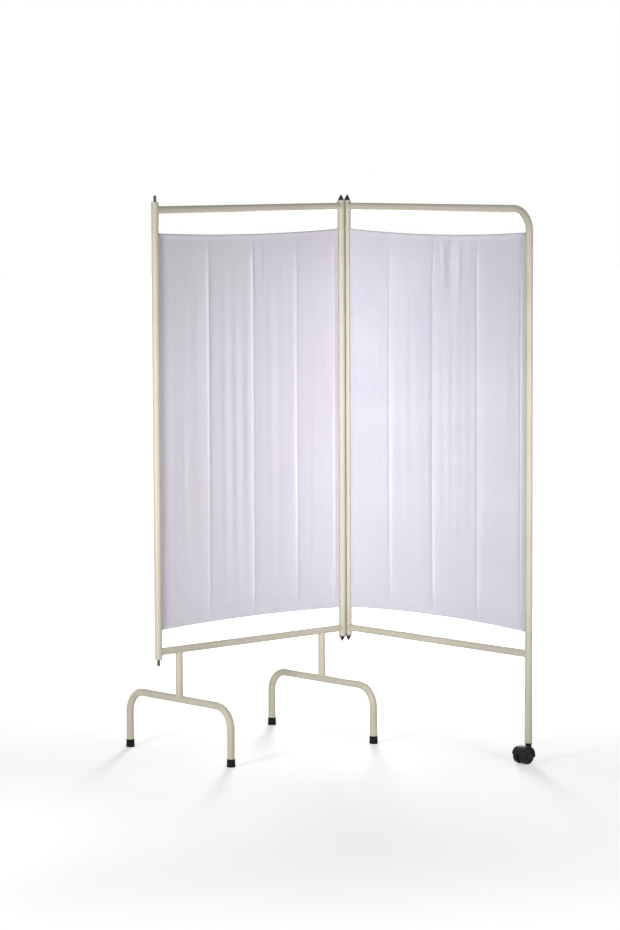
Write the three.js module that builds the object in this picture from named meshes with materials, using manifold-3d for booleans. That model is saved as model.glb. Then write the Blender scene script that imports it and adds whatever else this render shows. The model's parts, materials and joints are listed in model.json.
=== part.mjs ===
import * as THREE from 'three';
import { mergeVertices } from 'three/addons/utils/BufferGeometryUtils.js';
import Module from 'manifold-3d';

const wasm = await Module();
wasm.setup();

// Frame tubes, in millimetres. Widths and heights are those of the tubes' axes.
const footedPanelWidth = 747;
const wingPanelWidth = 788;
const topRailHeight = 1645;
const bottomRailHeight = 327;
const uprightPastRail = 22;
const tubeDiameter = 22;
const tubeWall = 1.2;
const bendRadius = 65;

// Feet of the footed panel.
const outerPostInset = 80;
const hingePostInset = 88;
const footBarHeight = 176;
const footSpan = 472;
const tipWall = 1.2;
const tipFlare = 0.7;
const tipHeight = 24;
const tipFloor = 5;
const tipEdge = 1.5;

// Hinge between the panels.
const hingeTubeGap = 1.5;
const hingePastTopRail = 15.5;
const linkThickness = 2;
const linkRestDegrees = -8;
const plugDepth = 18;
const plugFlange = 1.2;
const plugBottom = 4;
const pinDiameter = 8;
const pinChamfer = 1;
const sparePinDiameter = 9;
const sparePinReach = 19.3;
const capSpacing = 4.5;
const capHeight = 17;
const capTipDiameter = 3;
const capWall = 1.2;

// Curtains. Each wire's hooks are set off from its rail; sag and rise are those of the wires at mid-width.
const topWireDrop = 74;
const bottomWireRise = 69.5;
const footedTopSag = 9;
const footedBottomRise = 8;
const wingTopSag = 12;
const wingBottomRise = 12;
const curtainSideGap = 1.5;
const clothThickness = 1;
const topHem = 36;
const bottomHem = 27;
const casingSlack = 0.5;
const casingDepth = 11;
const straightEdge = 25;
const creaseDepth = 3;
const creaseReach = 26;
const rippleDepth = 1.4;
const rippleLength = 95;

// Curtain wires, their end eyes and the hooks that hold them.
const wireDiameter = 4.5;
const eyeWireDiameter = 1.6;
const hookWireDiameter = 2;
const hookBendRadius = 1.8;
const hookPastEye = 1.4;
const hookInside = 3;

// Caster under the wing panel's leg.
const casterHeight = 58;
const casterTrail = 21;
const wheelDiameter = 50;
const wheelWidth = 17;
const wheelShoulder = 2.5;
const wheelDish = 2.5;
const wheelRimWidth = 6;
const wheelHubDiameter = 17;
const wheelFace = 4;
const wheelGap = 1.5;
const webThickness = 8;
const hoodWall = 2.5;
const hoodPastWheel = 1;
const axleDiameter = 6;
const axleBossDiameter = 18;
const stemBossDiameter = 19;
const stemBossDrop = 28;
const stemDiameter = 11;
const stemReach = 22;
const stemSpigotDiameter = 8;
const stemSpigotDepth = 13;
const stemNeckDepth = 1;
const gripRingHeight = 1.4;
const gripRingFromTop = 4;
const socketFlange = 1.4;
const socketDepth = 27;

// How far pieces stand clear of what they seat on or pass through, and how far cutters run past.
const clearance = 0.3;
const overrun = 2;

// Shares of a curtain's width, from the hinge side, at which the cloth keeps a pressed crease.
const footedCreaseShares = [0.026, 0.243, 0.487, 0.739];
const wingCreaseShares = [0.233, 0.486, 0.742, 0.976];
const clothRowShares = [0.33, 0.67];

// Angles of the hood's two lips about the axle, from the stem side up and over.
const hoodFrontDegrees = -14;
const hoodBackDegrees = 168;

// Faces on round pieces and steps along bends and cloth.
const tubeSides = 20;
const smallSides = 16;
const wireSides = 6;
const wheelSides = 24;
const bendSteps = 5;
const hookSteps = 3;
const wireSteps = 10;
const clothSteps = 22;

const tubeRadius = tubeDiameter / 2;
const tubeBoreRadius = tubeRadius - tubeWall;
const uprightBottom = bottomRailHeight - uprightPastRail;
const freeUprightTop = topRailHeight + uprightPastRail;
const hingeUprightTop = topRailHeight + hingePastTopRail;
const topWireHeight = topRailHeight - topWireDrop;
const bottomWireHeight = bottomRailHeight + bottomWireRise;
const hingePitch = tubeDiameter + hingeTubeGap;
const linkLift = plugFlange + 2 * clearance;
const capLift = linkLift + linkThickness + clearance;
const pinBoreRadius = pinDiameter / 2 + clearance;
const capBaseRadius = (hingePitch - capSpacing) / 2;
const capTipRadius = capTipDiameter / 2;
const capSlope = (capBaseRadius - capTipRadius) / capHeight;
const capBoreDepth = (capBaseRadius - pinBoreRadius - capWall) / capSlope;
const legEndHeight = casterHeight + socketFlange + 2 * clearance;

const hookRadius = hookWireDiameter / 2;
const eyeWireRadius = eyeWireDiameter / 2;
const eyeRadius = hookRadius + 2 * clearance + eyeWireRadius;
const eyeReach = eyeRadius + eyeWireRadius;
const eyeOffset = tubeRadius + 2 * clearance + eyeReach;
const hookLegOffset = eyeOffset - clearance;
const hookDrop = eyeWireRadius + clearance + hookBendRadius;
const wireEndOffset = eyeOffset + eyeRadius;
const casingBore = Math.max(eyeReach, wireDiameter / 2) + casingSlack;
const casingRadius = casingBore + clothThickness;

const along = { x: new THREE.Vector3(1, 0, 0), y: new THREE.Vector3(0, 1, 0), z: new THREE.Vector3(0, 0, 1) };

const creamPaint = new THREE.MeshStandardMaterial({ color: 0xe4d9bd, roughness: 0.42, metalness: 0 });
const whiteCloth = new THREE.MeshStandardMaterial({ color: 0xdcd8e6, roughness: 0.95, metalness: 0 });
const blackRubber = new THREE.MeshStandardMaterial({ color: 0x141414, roughness: 0.75, metalness: 0 });
const blackPlastic = new THREE.MeshStandardMaterial({ color: 0x17181a, roughness: 0.4, metalness: 0 });
const zincSteel = new THREE.MeshStandardMaterial({ color: 0x9b9a97, roughness: 0.35, metalness: 1 });
const whiteVinyl = new THREE.MeshStandardMaterial({ color: 0xe9e8e4, roughness: 0.5, metalness: 0 });

// A round outline with a corner on each axis.
function roundOutline(radius, sides) {
  return Array.from({ length: sides }, (_, corner) => {
    const turn = corner * 2 * Math.PI / sides;
    return new THREE.Vector2(radius * Math.cos(turn), radius * Math.sin(turn));
  });
}

// A round bar standing on the origin, hollow where it has a bore.
function roundBar(radius, length, bore = 0, sides = tubeSides) {
  const section = new THREE.Shape(roundOutline(radius, sides));
  if (bore > 0) {
    section.holes.push(new THREE.Path(roundOutline(bore, sides)));
  }
  return new THREE.ExtrudeGeometry(section, { depth: length, bevelEnabled: false });
}

// A tube that stands on the origin.
function straightTube(length) {
  return roundBar(tubeRadius, length, tubeBoreRadius);
}

// A round bar that lies along x, centred on the origin.
function crossBar(radius, length, sides = tubeSides) {
  return roundBar(radius, length, 0, sides).translate(0, 0, -length / 2).rotateY(Math.PI / 2);
}

// A piece turned about its upright axis from a profile of radius and height.
function turned(profile, sides = smallSides) {
  const points = profile.map(([radius, height]) => new THREE.Vector2(radius, height));
  return new THREE.LatheGeometry(points, sides).rotateX(Math.PI / 2);
}

// A centreline with stations only where a bar starts, bends or ends, and straight between them.
class StationLine extends THREE.Curve {
  constructor(stations) {
    super();
    this.stations = stations;
  }

  getUtoTmapping(share) {
    return share;
  }

  getPoint(share, target = new THREE.Vector3()) {
    const place = share * (this.stations.length - 1);
    const index = Math.min(Math.floor(place), this.stations.length - 2);
    return target.lerpVectors(this.stations[index], this.stations[index + 1], place - index);
  }
}

// The stations of a quarter bend about a corner, from one direction of travel into another.
function quarterBend(corner, from, to, radius, steps) {
  return Array.from({ length: steps + 1 }, (_, step) => {
    const turn = step / steps * Math.PI / 2;
    return corner.clone()
      .addScaledVector(from, radius * (Math.sin(turn) - 1))
      .addScaledVector(to, radius * (1 - Math.cos(turn)));
  });
}

// A section carried along a line of stations.
function swept(section, stations) {
  return new THREE.ExtrudeGeometry(section, {
    extrudePath: new StationLine(stations),
    steps: stations.length - 1,
    bevelEnabled: false,
  });
}

// A tube bent along a line of stations.
function bentTube(stations) {
  const section = new THREE.Shape(roundOutline(tubeRadius, tubeSides));
  section.holes.push(new THREE.Path(roundOutline(tubeBoreRadius, tubeSides)));
  return swept(section, stations);
}

// A closed geometry as a solid that can be cut or joined.
function solid(geometry) {
  const bare = geometry.clone();
  bare.deleteAttribute('normal');
  bare.deleteAttribute('uv');
  const merged = mergeVertices(bare);
  return new wasm.Manifold(new wasm.Mesh({
    numProp: 3,
    vertProperties: new Float32Array(merged.attributes.position.array),
    triVerts: new Uint32Array(merged.index.array),
  }));
}

// A solid's surface as a geometry.
function surface(body) {
  const mesh = body.getMesh();
  const geometry = new THREE.BufferGeometry();
  geometry.setAttribute('position', new THREE.BufferAttribute(mesh.vertProperties, mesh.numProp));
  geometry.setIndex(new THREE.BufferAttribute(mesh.triVerts, 1));
  geometry.computeVertexNormals();
  return geometry;
}

// A geometry with others cut out of it.
function cut(geometry, cutters) {
  return surface(cutters.reduce((body, cutter) => body.subtract(solid(cutter)), solid(geometry)));
}

// Geometries joined into one.
function joined(geometries) {
  return surface(geometries.map(solid).reduce((body, other) => body.add(other)));
}

function piece(name, geometry, material) {
  const mesh = new THREE.Mesh(geometry, material);
  mesh.name = name;
  return mesh;
}

// The upright space that a tube on the same axis needs, to shape the end of a tube that meets it.
function uprightSaddle(offset, height) {
  const length = tubeDiameter + 2 * overrun;
  return roundBar(tubeRadius + clearance, length).translate(offset, 0, height - length / 2);
}

// A drilled hole for a curtain hook, through the wall of a tube that faces along or against x.
function hookHole(offset, height, facing) {
  const length = tubeWall + 2 * overrun;
  const middle = offset + facing * (tubeRadius - tubeWall / 2);
  return crossBar(hookRadius + clearance, length, wireSides).translate(middle, 0, height);
}

// The two holes in one upright: the top hook's shank lies under its wire, the bottom one's over it.
function hookHoles(offset, facing) {
  return [
    hookHole(offset, topWireHeight - hookDrop, facing),
    hookHole(offset, bottomWireHeight + hookDrop, facing),
  ];
}

// An upright: a straight tube, drilled for its two curtain hooks.
function upright(offset, facing, top) {
  const tube = straightTube(top - uprightBottom).translate(offset, 0, uprightBottom);
  return cut(tube, hookHoles(offset, facing));
}

// A rail: a tube whose two ends are saddled to the uprights that it is welded to.
function rail(width, height) {
  const tube = crossBar(tubeRadius, width).translate(width / 2, 0, height);
  const bore = crossBar(tubeBoreRadius, width + 2 * overrun).translate(width / 2, 0, height);
  return cut(tube, [bore, uprightSaddle(0, height), uprightSaddle(width, height)]);
}

// A drop post between the bottom rail and a foot bow, saddled to both.
function dropPost(offset) {
  const length = tubeDiameter + 2 * overrun;
  const underRail = crossBar(tubeRadius + clearance, length).translate(offset, 0, bottomRailHeight);
  const overBar = crossBar(tubeRadius + clearance, length)
    .rotateZ(Math.PI / 2)
    .translate(offset, 0, footBarHeight);
  const tube = straightTube(bottomRailHeight - footBarHeight).translate(offset, 0, footBarHeight);
  return cut(tube, [underRail, overBar]);
}

// A foot bow: one tube bent into an upturned U that stands across the panel.
function footBow(offset) {
  const half = footSpan / 2;
  const up = along.z;
  const down = along.z.clone().negate();
  const across = along.y;
  const foot = tipFloor + clearance;
  return bentTube([
    new THREE.Vector3(offset, -half, foot),
    ...quarterBend(new THREE.Vector3(offset, -half, footBarHeight), up, across, bendRadius, bendSteps),
    ...quarterBend(new THREE.Vector3(offset, half, footBarHeight), across, down, bendRadius, bendSteps),
    new THREE.Vector3(offset, half, foot),
  ]);
}

// A rubber tip: a flared cup with a thick floor, pushed over the end of a foot.
function rubberTip() {
  const bore = tubeRadius + clearance;
  const rim = bore + tipWall;
  const base = rim + tipFlare;
  return turned([
    [0, 0],
    [base - tipEdge, 0],
    [base, tipEdge],
    [base, tipFloor],
    [rim, tipHeight],
    [bore, tipHeight],
    [bore, tipFloor],
    [0, tipFloor],
  ], tubeSides);
}

// The wing's bow: one tube that is top rail, round corner and leg, saddled at the hinge upright.
function wingBow() {
  const corner = new THREE.Vector3(wingPanelWidth, 0, topRailHeight);
  const down = along.z.clone().negate();
  const tube = bentTube([
    new THREE.Vector3(0, 0, topRailHeight),
    ...quarterBend(corner, along.x, down, bendRadius, bendSteps),
    new THREE.Vector3(wingPanelWidth, 0, legEndHeight),
  ]);
  return cut(tube, [uprightSaddle(0, topRailHeight), ...hookHoles(wingPanelWidth, -1)]);
}

// An end plug: a turned steel plug with a flange, bored for its pin. Its flange seats on the tube's end.
function endPlug(boreRadius) {
  const radius = tubeBoreRadius - clearance;
  return turned([
    [0, -plugDepth],
    [radius, -plugDepth],
    [radius, clearance],
    [tubeRadius, clearance],
    [tubeRadius, clearance + plugFlange],
    [boreRadius, clearance + plugFlange],
    [boreRadius, plugBottom - plugDepth],
    [0, plugBottom - plugDepth],
  ], tubeSides);
}

// A steel pin set in its plug, with a chamfered head.
function pin(radius, reach) {
  return turned([
    [0, plugBottom - plugDepth + clearance],
    [radius, plugBottom - plugDepth + clearance],
    [radius, reach - pinChamfer],
    [radius - pinChamfer, reach],
    [0, reach],
  ]);
}

// A pointed plastic cap, pushed over the head of a pivot pin to keep the link on.
function coneCap() {
  return turned([
    [pinBoreRadius, 0],
    [capBaseRadius, 0],
    [capTipRadius, capHeight - capTipRadius],
    [0, capHeight],
    [0, capBoreDepth],
    [pinBoreRadius, capBoreDepth],
    [pinBoreRadius, 0],
  ]);
}

// A flat link plate with round ends and a hole for each of its two pivot pins.
function linkPlate() {
  const plate = new THREE.Shape();
  plate.absarc(0, 0, tubeRadius, Math.PI / 2, Math.PI * 3 / 2);
  plate.absarc(hingePitch, 0, tubeRadius, -Math.PI / 2, Math.PI / 2);
  for (const offset of [0, hingePitch]) {
    const outline = roundOutline(pinBoreRadius, smallSides).map((point) => point.setX(point.x + offset));
    plate.holes.push(new THREE.Path(outline));
  }
  return new THREE.ExtrudeGeometry(plate, {
    depth: linkThickness,
    bevelEnabled: false,
    curveSegments: tubeSides / 2,
  });
}

// A piece at one end of an upright: the bottom end is the top end turned upside down.
function atUprightEnd(mesh, offset, end, height) {
  mesh.position.set(offset, 0, height);
  mesh.rotation.x = end === 'top' ? 0 : Math.PI;
  return mesh;
}

// What hangs from a wire follows its curve: none at the eyes, the full drop at mid-width.
function wireDropShare(width, offset) {
  const span = width - 2 * wireEndOffset;
  const share = THREE.MathUtils.clamp((offset - wireEndOffset) / span, 0, 1);
  return 4 * share * (1 - share);
}

// A curtain wire: a covered spring with a steel eye at each end, pulled into a shallow curve by the cloth.
function curtainWire(width, drop) {
  const start = new THREE.Vector3(wireEndOffset - eyeWireRadius, 0, 0);
  const end = new THREE.Vector3(width - wireEndOffset + eyeWireRadius, 0, 0);
  const control = new THREE.Vector3(width / 2, 0, -2 * drop);
  const spring = new THREE.ExtrudeGeometry(new THREE.Shape(roundOutline(wireDiameter / 2, wireSides)), {
    extrudePath: new THREE.QuadraticBezierCurve3(start, control, end),
    steps: wireSteps,
    bevelEnabled: false,
  });
  const eyes = [eyeOffset, width - eyeOffset].map((offset) => {
    return new THREE.TorusGeometry(eyeRadius, eyeWireRadius, wireSides, 2 * wireSides).translate(offset, 0, 0);
  });
  return joined([spring, ...eyes]);
}

// A curtain hook: a bent steel wire whose shank goes into the upright and whose leg stands in the wire's eye.
function curtainHook() {
  const corner = new THREE.Vector3(hookLegOffset, 0, -hookDrop);
  return swept(new THREE.Shape(roundOutline(hookRadius, wireSides)), [
    new THREE.Vector3(tubeBoreRadius - hookInside, 0, -hookDrop),
    ...quarterBend(corner, along.x, along.z, hookBendRadius, hookSteps),
    new THREE.Vector3(hookLegOffset, 0, eyeWireRadius + hookPastEye),
  ]);
}

// The round part of a casing, seen from its side, from the front over the wire to the back.
function casingArc(radius, height, facing) {
  return [-45, 0, 45, 90, 135, 180, 225].map((degrees) => {
    const turn = THREE.MathUtils.degToRad(degrees);
    return new THREE.Vector2(facing * radius * Math.cos(turn), height + facing * radius * Math.sin(turn));
  });
}

// The cloth from its side: a single sheet, doubled at both hems and looped round both wires.
function curtainSection() {
  const plyEdge = clothThickness / 2;
  const topStitch = topWireHeight + casingRadius - topHem;
  const bottomStitch = bottomWireHeight - casingRadius + bottomHem;
  const front = [
    [clothThickness, bottomWireHeight + casingDepth],
    [clothThickness, bottomStitch],
    [plyEdge, bottomStitch + clothThickness],
    ...clothRowShares.map((share) => [plyEdge, bottomStitch + share * (topStitch - bottomStitch)]),
    [plyEdge, topStitch - clothThickness],
    [clothThickness, topStitch],
    [clothThickness, topWireHeight - casingDepth],
  ].map(([depth, height]) => new THREE.Vector2(depth, height));
  const back = front.map((point) => new THREE.Vector2(-point.x, point.y)).reverse();
  const section = new THREE.Shape([
    ...front,
    ...casingArc(casingRadius, topWireHeight, 1),
    ...back,
    ...casingArc(casingRadius, bottomWireHeight, -1),
  ]);
  for (const [height, facing] of [[topWireHeight, 1], [bottomWireHeight, -1]]) {
    const seam = new THREE.Vector2(0, height - facing * (casingDepth - clothThickness));
    section.holes.push(new THREE.Path([...casingArc(casingBore, height, facing), seam]));
  }
  return section;
}

// How far the cloth stands out of its plane: pressed creases to alternate sides, and soft ripples.
function foldDepth(offset, width, clothWidth, creaseShares) {
  const edge = (width - clothWidth) / 2;
  const creases = creaseShares.reduce((depth, share, index) => {
    const distance = Math.abs(offset - edge - share * clothWidth);
    const side = index % 2 === 0 ? 1 : -1;
    return depth + side * creaseDepth * Math.exp(-distance / creaseReach);
  }, 0);
  const ripple = offset / rippleLength * 2 * Math.PI;
  return creases + rippleDepth * (Math.sin(ripple) + Math.sin(ripple * Math.SQRT2) / 2);
}

// A curtain: one closed sheet with a casing at the top and the bottom, stretched between its two wires.
// Its side edges stay straight.
function curtain(width, topSag, bottomRise, creaseShares) {
  const start = tubeRadius + curtainSideGap;
  const clothWidth = width - 2 * start;
  const cloth = new THREE.ExtrudeGeometry(curtainSection(), {
    depth: clothWidth,
    steps: clothSteps,
    bevelEnabled: false,
  });
  cloth.applyMatrix4(new THREE.Matrix4().makeBasis(along.y, along.z, along.x));
  cloth.translate(start, 0, 0);
  const place = cloth.attributes.position;
  for (let index = 0; index < place.count; index += 1) {
    const offset = place.getX(index);
    const height = place.getZ(index);
    const share = (height - bottomWireHeight) / (topWireHeight - bottomWireHeight);
    const heldShare = THREE.MathUtils.clamp(share, 0, 1);
    const drop = wireDropShare(width, offset);
    const lift = bottomRise * drop * (1 - heldShare) - topSag * drop * heldShare;
    const slackShare = Math.sin(Math.PI * heldShare) ** 2;
    const edgeDistance = Math.min(offset, width - offset) - start;
    const looseShare = THREE.MathUtils.smoothstep(edgeDistance, 0, straightEdge);
    const fold = foldDepth(offset, width, clothWidth, creaseShares) * slackShare * looseShare;
    place.setXYZ(index, offset, place.getY(index) + fold, height + lift);
  }
  return cloth;
}

// One panel's curtain with its two wires and four hooks.
function hungCurtain(label, width, topSag, bottomRise, creaseShares) {
  const group = new THREE.Group();
  group.add(piece(`${label}_curtain`, curtain(width, topSag, bottomRise, creaseShares), whiteCloth));
  const levels = [
    { end: 'top', height: topWireHeight, drop: topSag, turn: 0 },
    { end: 'bottom', height: bottomWireHeight, drop: bottomRise, turn: Math.PI },
  ];
  for (const { end, height, drop, turn } of levels) {
    const wire = piece(`${label}_${end}_wire`, curtainWire(width, drop), whiteVinyl);
    wire.position.z = height;
    wire.rotation.x = turn;
    const innerHook = piece(`${label}_${end}_inner_hook`, curtainHook(), zincSteel);
    innerHook.position.z = height;
    innerHook.rotation.x = turn;
    const outerHook = piece(`${label}_${end}_outer_hook`, curtainHook().rotateZ(Math.PI), zincSteel);
    outerHook.position.set(width, 0, height);
    outerHook.rotation.x = turn;
    group.add(wire, innerHook, outerHook);
  }
  return group;
}

// A hinge upright's plugs, pivot pins and pointed caps.
function hingeFittings(label) {
  const group = new THREE.Group();
  const pinReach = capLift + capBoreDepth - clearance;
  for (const [end, height] of [['top', hingeUprightTop], ['bottom', uprightBottom]]) {
    const fittings = [
      piece(`${label}_${end}_plug`, endPlug(pinBoreRadius), zincSteel),
      piece(`${label}_${end}_pivot_pin`, pin(pinDiameter / 2, pinReach), zincSteel),
      piece(`${label}_${end}_cone_cap`, coneCap().translate(0, 0, capLift), blackPlastic),
    ];
    group.add(...fittings.map((mesh) => atUprightEnd(mesh, 0, end, height)));
  }
  return group;
}

// The free upright's plugs and bare pins, where a further panel would hang.
function freeFittings() {
  const group = new THREE.Group();
  const radius = sparePinDiameter / 2;
  const reach = plugFlange + clearance + sparePinReach;
  for (const [end, height] of [['top', freeUprightTop], ['bottom', uprightBottom]]) {
    const fittings = [
      piece(`free_${end}_plug`, endPlug(radius + clearance), zincSteel),
      piece(`free_${end}_pin`, pin(radius, reach), zincSteel),
    ];
    group.add(...fittings.map((mesh) => atUprightEnd(mesh, footedPanelWidth, end, height)));
  }
  return group;
}

// The panel that stands on two foot bows. It runs out along x from its hinge upright.
function footedPanel() {
  const group = new THREE.Group();
  const outerPost = footedPanelWidth - outerPostInset;
  group.add(
    piece('footed_hinge_upright', upright(0, 1, hingeUprightTop), creamPaint),
    piece('footed_outer_upright', upright(footedPanelWidth, -1, freeUprightTop), creamPaint),
    piece('footed_top_rail', rail(footedPanelWidth, topRailHeight), creamPaint),
    piece('footed_bottom_rail', rail(footedPanelWidth, bottomRailHeight), creamPaint),
    hingeFittings('footed'),
    freeFittings(),
    hungCurtain('footed', footedPanelWidth, footedTopSag, footedBottomRise, footedCreaseShares),
  );
  for (const [label, offset] of [['outer', outerPost], ['hinge', hingePostInset]]) {
    group.add(piece(`${label}_drop_post`, dropPost(offset), creamPaint));
    group.add(piece(`${label}_foot_bow`, footBow(offset), creamPaint));
    for (const [side, across] of [['front', 1], ['back', -1]]) {
      const tip = piece(`${label}_${side}_rubber_tip`, rubberTip(), blackRubber);
      tip.position.set(offset, across * footSpan / 2, 0);
      group.add(tip);
    }
  }
  return group;
}

// The caster's socket: a flanged bush in the leg's end, with a groove where the grip ring snaps in.
function casterSocket() {
  const bore = stemDiameter / 2 + clearance;
  const groove = bore + 2 * clearance;
  const body = tubeBoreRadius - clearance;
  const ringTop = stemReach - gripRingFromTop;
  const lift = casterHeight + clearance;
  return turned([
    [bore, 0],
    [tubeRadius, 0],
    [tubeRadius, socketFlange],
    [body, socketFlange],
    [body, socketDepth],
    [bore, socketDepth],
    [bore, ringTop + 2 * clearance],
    [groove, ringTop + clearance],
    [groove, ringTop - gripRingHeight - clearance],
    [bore, ringTop - gripRingHeight - 2 * clearance],
    [bore, 0],
  ], tubeSides).translate(0, 0, lift);
}

// The stem: a steel pin with a spigot set in the hood and a neck for its grip ring.
function casterStem() {
  const radius = stemDiameter / 2;
  const spigot = stemSpigotDiameter / 2;
  const neck = radius - stemNeckDepth;
  const ringTop = stemReach - gripRingFromTop;
  const lift = casterHeight + clearance;
  return turned([
    [0, clearance - stemSpigotDepth],
    [spigot, clearance - stemSpigotDepth],
    [spigot, 0],
    [radius, 0],
    [radius, ringTop - gripRingHeight - clearance],
    [neck, ringTop - gripRingHeight - clearance],
    [neck, ringTop + clearance],
    [radius, ringTop + clearance],
    [radius, stemReach - pinChamfer],
    [radius - pinChamfer, stemReach],
    [0, stemReach],
  ]).translate(0, 0, lift);
}

// The grip ring: a split spring ring that stands out of the stem's neck into the socket's groove.
function gripRing() {
  const inner = stemDiameter / 2 - stemNeckDepth + clearance;
  const outer = stemDiameter / 2 + 2 * clearance;
  const halfGap = Math.PI / smallSides;
  const ring = new THREE.Shape();
  ring.absarc(0, 0, outer, halfGap, 2 * Math.PI - halfGap);
  ring.absarc(0, 0, inner, 2 * Math.PI - halfGap, halfGap, true);
  const ringBottom = stemReach - gripRingFromTop - gripRingHeight;
  return new THREE.ExtrudeGeometry(ring, {
    depth: gripRingHeight,
    bevelEnabled: false,
    curveSegments: smallSides,
  }).translate(0, 0, casterHeight + clearance + ringBottom);
}

// A flat outline set upright in the plane of the wheels and given a thickness across them.
function acrossWheels(shape, thickness, segments) {
  return new THREE.ExtrudeGeometry(shape, {
    depth: thickness,
    bevelEnabled: false,
    curveSegments: segments,
  }).translate(0, 0, -thickness / 2).rotateX(Math.PI / 2);
}

// The hood: a curved guard over both wheels, on a web between them that carries the axle and the stem.
function casterHood() {
  const wheelRadius = wheelDiameter / 2;
  const guardInner = wheelRadius + wheelGap;
  const guardOuter = guardInner + hoodWall;
  const front = THREE.MathUtils.degToRad(hoodFrontDegrees);
  const back = THREE.MathUtils.degToRad(hoodBackDegrees);
  const guardWidth = webThickness + 2 * (clearance + wheelWidth + hoodPastWheel);
  const guard = new THREE.Shape();
  guard.moveTo(0, 0);
  guard.absarc(0, 0, guardOuter, front, back);
  const boss = new THREE.Shape(roundOutline(axleBossDiameter / 2, smallSides));
  const bossHeight = casterHeight - stemBossDrop;
  const body = joined([
    acrossWheels(guard, guardWidth, smallSides).translate(-casterTrail, 0, wheelRadius),
    acrossWheels(boss, webThickness, smallSides).translate(-casterTrail, 0, wheelRadius),
    roundBar(stemBossDiameter / 2, stemBossDrop, 0, smallSides).translate(0, 0, bossHeight),
  ]);
  const spaceWidth = (guardWidth - webThickness) / 2 + overrun;
  const space = new THREE.Shape(roundOutline(guardInner, wheelSides));
  const wheelSpaces = [1, -1].map((side) => {
    const middle = side * (webThickness + spaceWidth) / 2;
    return acrossWheels(space, spaceWidth, smallSides).translate(-casterTrail, middle, wheelRadius);
  });
  const axleHole = new THREE.Shape(roundOutline(axleDiameter / 2 + clearance, smallSides));
  const spigotHole = roundBar(stemSpigotDiameter / 2 + clearance, stemSpigotDepth + overrun, 0, smallSides);
  return cut(body, [
    ...wheelSpaces,
    acrossWheels(axleHole, webThickness + 2 * overrun, smallSides).translate(-casterTrail, 0, wheelRadius),
    spigotHole.translate(0, 0, casterHeight - stemSpigotDepth),
  ]);
}

// A caster wheel: tread with rounded shoulders, dished outer face, and a blind bore for the axle.
function casterWheel(side) {
  const tread = wheelDiameter / 2 / Math.cos(Math.PI / wheelSides);
  const bore = axleDiameter / 2 + clearance;
  const boreDepth = wheelWidth - wheelFace;
  const hub = wheelHubDiameter / 2;
  const dish = wheelDiameter / 2 - wheelRimWidth;
  const wheel = turned([
    [bore, 0],
    [tread - wheelShoulder, 0],
    [tread, wheelShoulder],
    [tread, wheelWidth - wheelShoulder],
    [tread - wheelShoulder, wheelWidth],
    [dish, wheelWidth - wheelDish / 2],
    [dish - wheelDish, wheelWidth - wheelDish],
    [hub, wheelWidth - wheelDish],
    [hub - wheelDish, wheelWidth],
    [0, wheelWidth],
    [0, boreDepth],
    [bore, boreDepth],
    [bore, 0],
  ], wheelSides);
  wheel.rotateZ(Math.PI / wheelSides).rotateX(-side * Math.PI / 2);
  return wheel.translate(-casterTrail, side * (webThickness / 2 + clearance), wheelDiameter / 2);
}

// The axle: a plain steel rod through the web, with its ends in the blind bores of the wheels.
function casterAxle() {
  const reach = webThickness / 2 + clearance + wheelWidth - wheelFace - clearance;
  const rod = new THREE.Shape(roundOutline(axleDiameter / 2, smallSides));
  return acrossWheels(rod, 2 * reach, smallSides).translate(-casterTrail, 0, wheelDiameter / 2);
}

// The caster under the leg. Its wheels trail against x.
function caster() {
  const group = new THREE.Group();
  group.add(
    piece('caster_socket', casterSocket(), blackPlastic),
    piece('caster_stem', casterStem(), zincSteel),
    piece('caster_grip_ring', gripRing(), zincSteel),
    piece('caster_hood', casterHood(), blackPlastic),
    piece('caster_axle', casterAxle(), zincSteel),
    piece('caster_front_wheel', casterWheel(-1), blackPlastic),
    piece('caster_back_wheel', casterWheel(1), blackPlastic),
  );
  return group;
}

// The panel that rolls on one caster. It runs out along x from its hinge upright.
function wingPanel() {
  const group = new THREE.Group();
  const wheels = caster();
  wheels.position.x = wingPanelWidth;
  wheels.rotation.z = Math.PI / 2;
  group.add(
    piece('wing_hinge_upright', upright(0, 1, hingeUprightTop), creamPaint),
    piece('wing_bow', wingBow(), creamPaint),
    piece('wing_bottom_rail', rail(wingPanelWidth, bottomRailHeight), creamPaint),
    hingeFittings('wing'),
    hungCurtain('wing', wingPanelWidth, wingTopSag, wingBottomRise, wingCreaseShares),
    wheels,
  );
  return group;
}

// The two link plates that join the panels' pins above and below.
function hingeLinks() {
  const group = new THREE.Group();
  const top = piece('top_hinge_link', linkPlate(), zincSteel);
  top.position.z = hingeUprightTop + linkLift;
  const bottom = piece('bottom_hinge_link', linkPlate(), zincSteel);
  bottom.position.z = uprightBottom - linkLift - linkThickness;
  group.add(top, bottom);
  group.rotation.z = THREE.MathUtils.degToRad(linkRestDegrees);
  return group;
}

// The screen folded square: the footed panel against x, the wing panel against y.
function wardScreen() {
  const screen = new THREE.Group();
  const footed = footedPanel();
  footed.rotation.z = Math.PI;
  const wing = wingPanel();
  wing.rotation.z = -Math.PI / 2;
  const linkTurn = THREE.MathUtils.degToRad(linkRestDegrees);
  wing.position.set(hingePitch * Math.cos(linkTurn), hingePitch * Math.sin(linkTurn), 0);
  screen.add(footed, hingeLinks(), wing);
  const box = new THREE.Box3().setFromObject(screen, true);
  const middle = box.getCenter(new THREE.Vector3());
  screen.position.set(-middle.x, -middle.y, -box.min.z);
  return screen;
}

export default wardScreen();
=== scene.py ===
import json
import math

import bmesh
import bpy
import numpy as np
from mathutils import Matrix, Quaternion, Vector


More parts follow.
